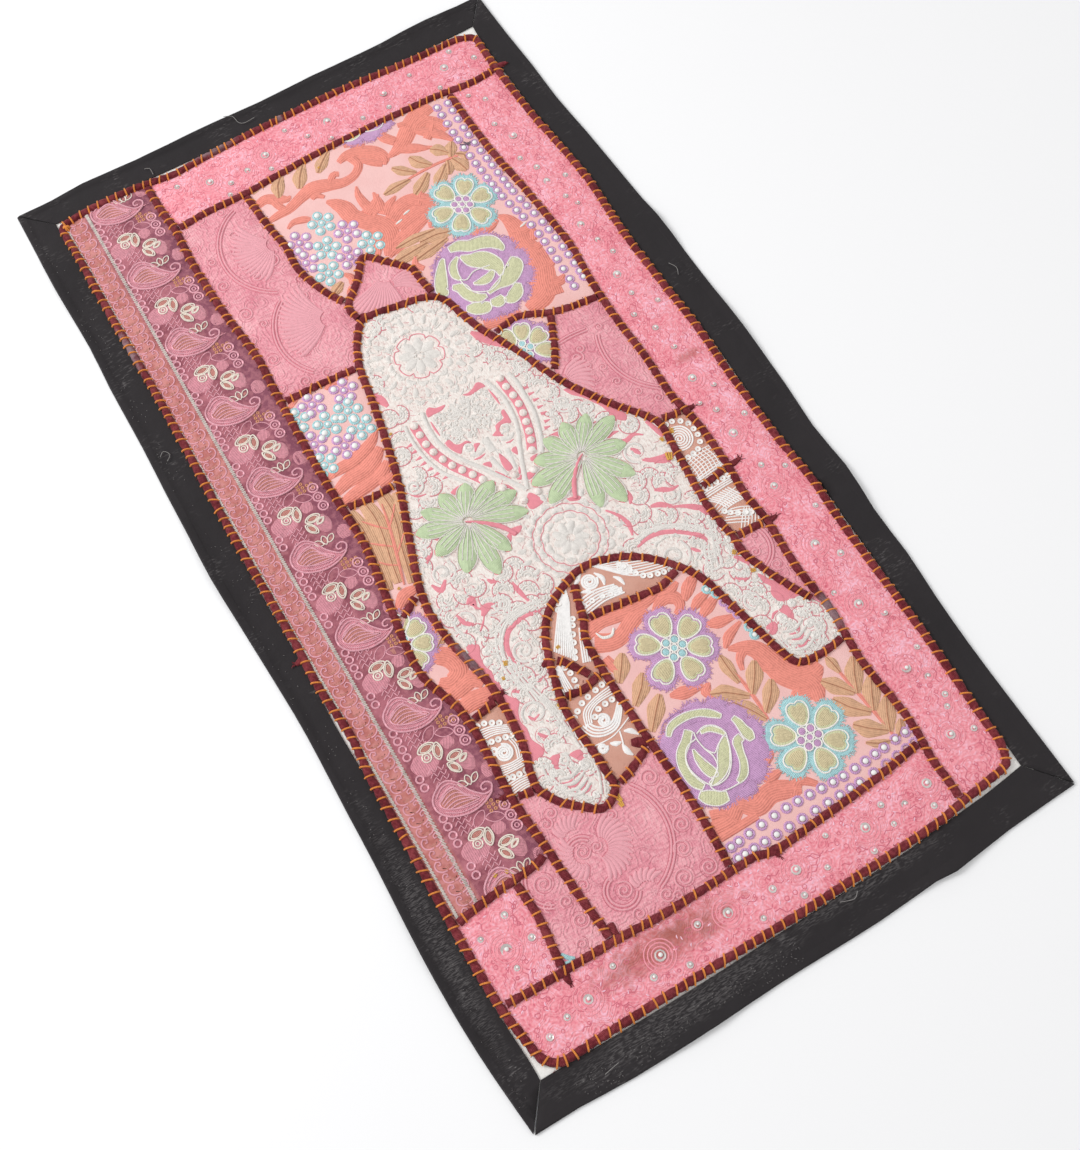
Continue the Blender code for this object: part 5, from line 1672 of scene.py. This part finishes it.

# The scrolls: thick coils, scalloped edges, rows of chain stitch that follow the curves, and nested bows,
# with thin pink lines of painted shade between the turns, round the rings and between the rows.
for x, y, outer, start in (
    (-98, -52, 13, 200), (-103, -104, 12, 30), (118, -38, 12, 60), (122, -93, 9, 150), (-72.8, -153, 11, 80),
    (92, -146, 16, 200), (-94, -207, 12, 0), (-97, -228, 8, 120), (129.3, -218, 9, 40), (132, -196, 8, 200),
    (-94, -256, 7, 60), (118, -168, 12, 300), (-76, -100, 10, 150), (-62, 140, 7, 10), (74, 96, 9, 40),
    (86, 40, 10, 130), (-72, 70, 8, 0), (-78, 36, 9, 200), (104, 24, 9, 80), (130, -10, 8, 10),
    (-66, -106, 9, 10),
):
    relief += [coil(x, y, 2, outer, 1.6, start, half=1.7)]
    shade_lines += [coil(x, y, 3.5, outer + 1.5, 1.4, start + 30, half=0.3)]
for x, y, reach in (
    (-101.4, -137, 5), (-105, -145.7, 5), (-104.3, -154.5, 5), (-104.3, -163.3, 5), (-102.9, -172, 5),
    (-98.5, -184, 4.5), (-81.6, -269, 6), (-62, -168, 6), (-54, -158, 5), (-64, -141, 6), (142, -246, 6),
    (-80, -232, 5), (-76, -222, 5), (148, -118, 5), (146, -132, 5), (147, -144, 5), (144, -156, 5),
    (139, -165, 5), (137, -184, 4), (158, -238, 5), (160, -250, 5), (160, -262, 5), (158, -274, 5),
    (-108, -262, 4.5), (-106, -274, 4.5), (-99, -286, 4.5), (-86, -296, 4),
):
    relief += [ring(x, y, reach * 0.42, reach * 0.5, 8)]
    shade_lines += [stroke(bow(x, y, reach, 60, 300), 0.28)]
for line in (
    [(-92, -182), (-96, -160), (-92, -138), (-80, -122), (-60, -117), (-40, -118)],
    [(-89, -198), (-91, -170), (-90, -148), (-82, -132), (-68, -122), (-46, -121)],
    [(-79, -236), (-82, -205), (-87, -178), (-88, -164)], [(-76, -254), (-77, -226), (-82, -196)],
    [(66, -114), (86, -112), (106, -118), (122, -130), (132, -148)],
    [(70, -116.5), (90, -115), (108, -122), (120, -134)],
    [(120, -176), (126, -160), (136, -140), (140, -128)], [(112, -172), (118, -156), (122, -150)],
    [(134, -288), (150, -286), (162, -276), (164, -258)], [(128, -262), (131, -276), (140, -284)],
    [(-112, -248), (-114, -262), (-108, -280), (-94, -296)], [(-73, -262), (-74, -280), (-82, -298)],
):
    relief += [stroke(line, 1.5), stroke([(x + 3.4, y - 1.6) for x, y in line], 1.3)]
    shade_lines += [stroke([(x + 1.7, y - 0.8) for x, y in line], 0.24)]
for x, lows in ((-95.5, (-271.6, -277.8, -283.6, -288.6)), (145.5, (-259.8, -266.7, -273.3, -279.6))):
    framing += [stroke([(x - 11, low + 3, 1.2), (x, low, 2.1), (x + 11, low + 4, 1.2)]) for low in lows]
relief += crescents(-72.8, -153, 15, 2.2, 11) + crescents(92, -146, 21, 2.2, 13)

# Shells of chain stitch in a few rows fill the field, each with pink slits of painted shade round it, and
# short curved stitches follow slow swirls between them, every third of them a pink dash of painted shade.
GROUND_STEP = 1.8
ground = [point[:3] for line, _ in slivers for point in line if point[2] > 0.4]
for corners in bare:
    (left, right), (foot, head) = extent(corners)
    for i in range(int((right - left) / GROUND_STEP) + 1):
        for j in range(int((head - foot) / GROUND_STEP) + 1):
            x, y = left + GROUND_STEP * i, foot + GROUND_STEP * j
            if inside(corners, x, y):
                ground.append((x, y, 1.1))
ground_tree = kdtree.KDTree(len(ground))
for i, (x, y, _) in enumerate(ground):
    ground_tree.insert((x, y, 0), i)
ground_tree.balance()
OPEN_FIELDS = (
    (-5.5, 154.5, 52), (20, -82, 50), (-52, -26, 46), (70, -26, 46), (-72.8, -153, 19), (92, -146, 22),
    (-94, -207, 14), (-98, -52, 15), (-103, -104, 13), (118, -38, 14), (122, -93, 11), (2, 66, 68),
    (8, 16, 44),
)
edge = outlines["patch_centre"]
(low_x, high_x), (low_y, high_y) = extent(edge)


def is_worked(x, y, clear=0.0):
    """Whether a place is at least so far from the bare ground."""
    _, i, far = ground_tree.find((x, y, 0))
    return far > ground[i][2] + clear


def is_open(x, y, clear):
    """Whether a place on the white field is free for filling."""
    return inside(edge, x, y) and seam_tree.find((x, y, 0))[2] > clear and is_worked(x, y, clear * 0.4)


def swirl(x, y):
    return 5 * noise.noise(Vector((x / 34, y / 34, 20)))


random.seed(21)
SHELL_PITCH = 13.5
for i in range(int((high_x - low_x) / SHELL_PITCH) + 1):
    for j in range(int((high_y - low_y) / SHELL_PITCH) + 1):
        x = low_x + SHELL_PITCH * (i + 0.5 * (j % 2)) + random.uniform(-2, 2)
        y = low_y + SHELL_PITCH * j + random.uniform(-2, 2)
        if not is_open(x, y, 5) or any(math.dist((x, y), field[:2]) < field[2] for field in OPEN_FIELDS):
            continue
        turn = math.degrees(swirl(x, y))
        relief += [stroke(bow(x, y, reach, turn - 95, turn + 95, 5), 1.25) for reach in (2.6, 5.2)]
        for k in range(7):
            relief += [ring(*away(x, y, 8, math.radians(turn - 96 + 32 * k)), 1.0, 1.1, 6)]
        shade_slits = [bow(x, y, 10, turn - 112 + 32 * k, turn - 80 + 32 * k, 3) for k in range(7)]
        shade_lines += [stroke(slit, 0.6) for slit in shade_slits]
STITCHES_TRIED = 2600
for i in range(STITCHES_TRIED):
    x, y = random.uniform(low_x, high_x), random.uniform(low_y, high_y)
    if not is_open(x, y, 3.6):
        continue
    bend, reach = random.uniform(-0.7, 0.7), random.uniform(2.2, 4.4)
    half, to = (0.34, shade_lines) if i % 3 == 0 else (random.uniform(0.7, 1.2), relief)
    tip = (*away(x, y, reach, swirl(x, y) + bend), half * 0.5)
    tail = (*away(x, y, -reach, swirl(x, y) - bend), half * 0.5)
    to += [stroke([tail, (x, y, half), tip], step=2.6, lift=-0.1)]
cream_thread = thread_dye_and_shade("cream_thread", dye(246, 240, 234), shade=0.9, patchy=20, relief=0.3)
rose_ground = thread_dye_and_shade("rose_ground", dye(236, 146, 158), shade=0.92, relief=0.1)
# The pink of the lines and dashes of painted shade between the white stitches.
slit_shade = thread_dye_and_shade("slit_shade", dye(222, 140, 150), shade=0.9, relief=0.1)

# Two palm leaves in green, their lobes side by side with white ribs between them, on a rose stem.
PALMS = (
    ((-53, -19), (-98, -6, 7.5), (-93, -33, 7.5), (-79, -61, 8), (-55, -77, 8), (-35, -63, 7), (-2, -39, 7.5),
     (-1, -17, 7.5), (-13, 2, 7.5), (-35, 13, 7.5), (-60, 16, 7.5), (-83, 10, 7)),
    ((72, -16), (119, 2, 7.5), (113, -27, 7.5), (103, -57, 8), (82, -75, 8), (60, -68, 7), (23, -41, 7.5),
     (19, -17, 7.5), (33, 2, 7.5), (52, 16, 7.5), (76, 21, 7.5), (99, 17, 7)),
)
greens, ribs_white, stems = [], [], []
for (x, y), *tips in PALMS:
    for tip_x, tip_y, half in tips:
        length = math.dist((x, y), (tip_x, tip_y))
        out_x, out_y = (y - tip_y) / length, (tip_x - x) / length
        along = [
            (x + share * (tip_x - x) + 1.2 * out_x, y + share * (tip_y - y) + 1.2 * out_y)
            for share in (0.1, 0.5, 0.8, 0.97, 1.04)
        ]
        widths = (2.2, half * 1.02, half * 1.06, half * 0.62, 1.2)
        greens += [stroke([(*spot, wide) for spot, wide in zip(along, widths)], lift=0.3)]
        slivers += [stroke([(*spot, wide + 1.4) for spot, wide in zip(along, widths)])]
        for side in (-1.04, -0.52, 0, 0.52, 1.04):
            rib = [
                (px + side * wide * out_x, py + side * wide * out_y) for (px, py), wide in zip(along, widths)
            ]
            long, lift = (4, 1.0) if abs(side) > 1 else (3, 1.3)
            ribs_white += [stroke(rib[:long], 0.45, lift=lift)]
for bends in (
    [(-55, -19), (-47, -24), (-37, -32), (-28, -41), (-21, -53)],
    [(74, -15), (66, -20), (54.7, -32), (49, -41), (44.5, -51)],
):
    stems += [stroke([(*spot, half) for spot, half in zip(bends, (0.6, 1.5, 2.2, 2.4, 1.8))], lift=1.0)]
green_thread = thread_dye_and_shade("green_thread", dye(202, 220, 178), shade=0.88, patchy=20)

bare_pads = kept_on([(rounded(corners, 3), 0, 0.1) for corners in bare], "centre")
padded("rose_ground_pads", bare_pads, rose_ground, loft=0.25)
slivers, relief, framing, shade_lines, greens, ribs_white, stems = (
    trimmed(strokes, "centre") for strokes in (slivers, relief, framing, shade_lines, greens, ribs_white, stems)
)
relief = cut(relief, is_worked)
for name, strokes, dyed_and_shaded, settings in (
    ("rose_slivers", slivers, rose_ground, {"profile": SATIN, "loft": 0.35, "pitch": 1.4}),
    ("white_relief", relief, cream_thread, {"profile": SATIN, "loft": 0.8, "pitch": 1.1}),
    ("frame_stitches", framing, cream_thread, {"profile": SATIN, "loft": 1.25, "pitch": 1.1}),
    ("pink_shade_slits", shade_lines, slit_shade, {"loft": 0.75}),
    ("palm_leaves", greens, green_thread, {"profile": ROWS, "loft": 0.9, "pitch": 1.3, "lengthways": True}),
    ("palm_ribs", ribs_white, cream_thread, {"loft": 0.6}),
    ("palm_stems", stems, rose_ground, {"profile": SATIN, "loft": 0.9}),
):
    laid(name, strokes, dyed_and_shaded, "white_embroidery", **settings)
KNOT = 4.2
sewn_on("white_knots", bead_model(), [(*spot, KNOT) for spot in knots], moss_cloth, 0.3)

# The maroon cord is a rolled strip of soft cotton couched over every seam, one run for each of the solids. It
# bulges between the stitches that hold it down, and its cut edges fray.
CORD_STEP = 1.6
CORD_HALF = 3.9
CORD_TALL = 3.5
STITCH_PITCH = 9.6
CORD = (
    (-1, -0.25), (-0.97, 0.2), (-0.72, 0.65), (-0.3, 0.88), (0.3, 0.9), (0.72, 0.65), (0.97, 0.2), (1, -0.25),
)

maroon = Surface("maroon_cord", 0.85, sheen=0.08)
ply = maroon.math("SINE", maroon.add("ShaderNodeAttribute", {"attribute_name": "thread"}, out="Fac") * 6.28)
worn_ply = maroon.noise(3, 3.0) * 0.7 + maroon.noise(25) * 0.5 + (ply * 0.5 + 0.5) * 0.15
FADES = ((-116, -131, 10, 26), (184, -262, 9, 24), (7, 471, 5, 6), (-244, 300, 8, 30), (-70, 470, 30, 7))
faded = 1
for x, y, wide, long in FADES:
    reach = maroon.apart(x, y, wide, long) * 0.6 + maroon.noise(4, 3.0) * 0.6
    faded = maroon.ramp(reach, (0.55, 0.1), (0.9, 1.0)) * faded
rich = maroon.ramp(worn_ply, (0.35, dye(70, 12, 20)), (0.62, dye(108, 28, 38)), (0.85, dye(142, 60, 66)))
maroon_cord = maroon.finish(
    maroon.mixed(faded, maroon.ramp(worn_ply, (0.35, dye(96, 62, 72)), (0.8, dye(150, 122, 128))), rich),
    height=maroon.noise(2.2, 3.0) + ply * 0.2,
    depth=0.7,
)
random.seed(4)
stitch_places = []
for node, (line, is_loop) in seams.items():
    run = smooth_line(line, CORD_STEP, is_loop)
    travel = [0.0]
    for a, b in zip(run, run[1:]):
        travel.append(travel[-1] + math.dist(a, b))
    holds = []
    reach = random.uniform(3, 6)
    while reach < travel[-1] - 2:
        holds.append(reach)
        reach += STITCH_PITCH * random.uniform(0.82, 1.22)
    cord_line = []
    k = 0
    for i, ((x, y), s) in enumerate(zip(run, travel)):
        (x0, y0), (x1, y1) = run[max(i - 1, 0)], run[min(i + 1, len(run) - 1)]
        length = math.dist((x0, y0), (x1, y1)) or 1
        along = ((x1 - x0) / length, (y1 - y0) / length)
        hold = min(holds, key=lambda h: abs(h - s), default=-99)
        pinch = 1 - 0.2 * math.exp(-((s - hold) / 1.9) ** 2)
        rag = 0.1 * noise.noise(Vector((x / 5, y / 5, 2))) + 0.05 * noise.noise(Vector((x / 2, y / 2, 6)))
        sway = 0.5 * noise.noise(Vector((x / 9, y / 9, 11)))
        cord_line.append((x - along[1] * sway, y + along[0] * sway, CORD_HALF * (pinch + rag), 0.0))
        if k < len(holds) and s >= holds[k]:
            stitch_places.append((x, y, along))
            k += 1
    piece = laid(
        node.replace("cord_", "couched_"), [(cord_line, is_loop)], maroon_cord, "maroon_cord",
        profile=CORD, loft=CORD_TALL * 1.12, pitch=1.3,
    )
    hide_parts(node)

# Orange thread holds the cord down, in short slanted stitches that go over it and into the cloth beside it.
STITCH_REACH = 4.2
STITCH_HALF = 0.9
orange = thread_dye_and_shade("orange_thread", dye(246, 150, 62), shade=0.75, roughness=0.5)
stitches = []
for turn in (10, 38, 66, 94, 122):
    stitch_places.append((-236.5, 459.5, (math.cos(math.radians(turn)), math.sin(math.radians(turn)))))
for x, y, (ax, ay) in stitch_places:
    lean = random.gauss(0.22, 0.16)
    reach = STITCH_REACH * random.uniform(0.88, 1.2)
    arch = []
    for share in (-1, -0.72, -0.36, 0, 0.36, 0.72, 1):
        out = share * reach
        tall = CORD_TALL * math.sqrt(max(0, 1 - (out / (CORD_HALF * 1.02)) ** 2)) * 0.86
        px = x - ay * out + ax * out * lean
        py = y + ax * out + ay * out * lean
        arch.append((px, py, STITCH_HALF, tall + 0.35 if abs(share) < 1 else -0.2))
    stitches.append((arch, False))
laid("couching_stitches", stitches, orange, "orange_thread", pitch=0.7)

# Some runs of cord end loose past a seam, some are knotted into a lump, and all of these fray.
loose_ends = [
    [(228, 417), (238, 416), (246, 415)], [(181, -25), (187, -25.5), (192, -26)],
    [(183, -94), (191, -95), (199, -94)], [(182, -160), (188, -160.5), (195, -160)],
    [(-148, -257), (-153, -258), (-159, -257)],
    [(-242, -58), (-247, -60), (-252, -61)], [(-186, -409), (-187, -413), (-187, -418)],
    [(17, -411), (18, -415), (19, -420)], [(-134, -394), (-134, -400), (-133, -405)],
    [(-26, 218), (-30, 221), (-35, 222)], [(-57, -172), (-62, -173), (-66.5, -174.5)],
    [(-122, -177), (-112, -177), (-107, -176)],
]
ends, frays = [], []
lumps = [[(-36, -273, 3), (-30, -276, 5), (-23, -280, 3.4)], [(14, -413, 3), (18, -414, 4.6), (23, -413, 3)]]
ends += [stroke(bends, step=1.8) for bends in lumps]
for bends in loose_ends:
    ends.append(stroke([(x, y, half) for (x, y), half in zip(bends, (3.4, 3.2, 1.8))], step=1.8))
    (x0, y0), (x1, y1) = bends[1:]
    heading = math.atan2(y1 - y0, x1 - x0)
    for _ in range(7):
        turn = heading + random.gauss(0, 0.6)
        start = (x0 + random.uniform(0, 1) * (x1 - x0), y0 + random.uniform(0, 1) * (y1 - y0))
        tip = away(*start, 5, turn)
        middle = ((start[0] + tip[0]) / 2 + random.gauss(0, 0.7), (start[1] + tip[1]) / 2)
        frays.append(stroke([start, middle, tip], 0.3, lift=0.3))
for x, y, (ax, ay) in stitch_places[::2]:
    side = random.choice((-1, 1))
    root = (x - 3.6 * side * ay + random.gauss(0, 2) * ax, y + 3.6 * side * ax + random.gauss(0, 2) * ay)
    lean = random.gauss(0, 0.9)
    tip = (root[0] - side * 2.2 * ay + lean * ax, root[1] + side * 2.2 * ax + lean * ay)
    frays.append(stroke([root, tip], 0.22, step=9, lift=0.2))
laid("cord_ends", ends, maroon_cord, "maroon_cord", profile=CORD, loft=2.6, pitch=1.3)
laid("cord_frays", frays, maroon_cord, "maroon_cord")

# Yellow and orange threads of older mending stand in the white piece and beside some seams.
MENDS = (
    (-70, 95, 0.8, 0), (-120, -52, 0.9, 40), (-92.6, -155.2, 1.3, 60), (-101.4, -166.2, 0.9, 70),
    (142.9, -58.4, 2.2, 60), (146.7, -40, 1.2, 90), (159.3, -37, 1.5, 70), (141, -170.5, 1.3, 30),
    (145.8, -193.8, 1.3, 150), (-45, -166, 1, 0), (-72, -211.7, 1, 20), (-68.4, -299.7, 1.4, 130),
    (14, 396, 0.8, 0), (-139, -45, 0.8, 20), (-195, -311, 1, 30), (-185, -313, 1, 80), (-70, -304, 1.2, 80),
    (-71, -309, 1.5, 95), (-72, -314, 1.4, 85),
)
mends = []
for x, y, size, turn in MENDS:
    for k in range(3):
        mend = stroke([(-1.8, k - 1), (0, k - 0.9), (1.8, k - 1)], 0.45, lift=0.9)
        mends += placed([mend], x, y, turn + 8 * k, size)
mending = thread_dye_and_shade("mending_thread", dye(238, 184, 84), shade=0.85)
laid("mending_stitches", mends, mending, "orange_thread")

# A few pale threads cling to the border.
clinging = [
    [(-41, 502), (-33, 498), (-31, 488), (-26, 484), (-14, 485)], [(-139, 484), (-134, 482), (-134, 474)],
    [(-262, 176), (-257, 181), (-261, 187), (-266, 183)], [(40, -478), (52, -482), (58, -478)],
    [(-200, -492), (-186, -490)], [(258, 120), (262, 112), (259, 104)],
]
specks = []
SPECKS = 420
for _ in range(SPECKS):
    x, y = random.choice((
        (random.uniform(-225, -10), random.uniform(-502, -484)),
        (random.uniform(-272, -256), random.uniform(-480, 480)),
    ))
    turn = random.uniform(0, 6.3)
    reach = random.uniform(0.4, 1.3)
    specks.append(stroke([(x, y), away(x, y, reach, turn)], 0.13, step=9, lift=0.1))
specks += [stroke(bends, 0.3, lift=0.7) for bends in clinging]
lint_thread = thread_dye_and_shade("lint_thread", dye(150, 146, 144), shade=0.85)
laid("border_lint", specks, lint_thread, "black_cotton")

# The stage is a pale floor under soft studio light, and the camera looks down from beyond the lower left
# corner, rolled a little, from where the photograph was taken.
FLOOR_SIZE = 12
FLOOR_DROP = 0.0002
SKY = 0.62
LAMPS = {
    "key": {"place": (-2.0, 1.5, 1.9), "power": 62, "size": 1.1},
    "fill": {"place": (1.8, -0.8, 2.2), "power": 8, "size": 2.0},
}
CAMERA_PLACE = Vector((-0.2876, -0.5019, 1.2250))
CAMERA_AIM = Vector((-0.0231, -0.0982, 0))
CAMERA_UP = Vector((0.47667, 0.79913, 0.36631))
PHOTO_FOCAL = 1450
PHOTO_LONG_SIDE = 1150

bpy.ops.object.select_all(action="DESELECT")
bpy.ops.mesh.primitive_plane_add(size=FLOOR_SIZE, location=(0, 0, -FLOOR_DROP))
floor = bpy.context.object
floor.name = "floor"
floor.data.materials.append(Surface("pale_paper", 0.9).finish(dye(250, 250, 251)))

studio = bpy.data.worlds.new("studio")
bpy.context.scene.world = studio
studio.use_nodes = True
studio.node_tree.nodes["Background"].inputs["Color"].default_value = (1, 1, 1, 1)
studio.node_tree.nodes["Background"].inputs["Strength"].default_value = SKY
for name, setting in LAMPS.items():
    lamp = bpy.data.lights.new(name, "AREA")
    lamp.energy = setting["power"]
    lamp.size = setting["size"]
    stand = linked(name, lamp)
    stand.location = setting["place"]
    stand.rotation_euler = (-Vector(setting["place"])).to_track_quat("-Z", "Y").to_euler()
bpy.context.scene.view_settings.view_transform = "Standard"

camera = bpy.data.cameras.new("camera")
camera.lens = camera.sensor_width * PHOTO_FOCAL / PHOTO_LONG_SIDE
tripod = linked("camera", camera)
ahead = (CAMERA_AIM - CAMERA_PLACE).normalized()
right = ahead.cross(CAMERA_UP).normalized()
tripod.location = CAMERA_PLACE
tripod.rotation_euler = Matrix((right, right.cross(ahead), -ahead)).transposed().to_euler()
bpy.context.scene.camera = tripod
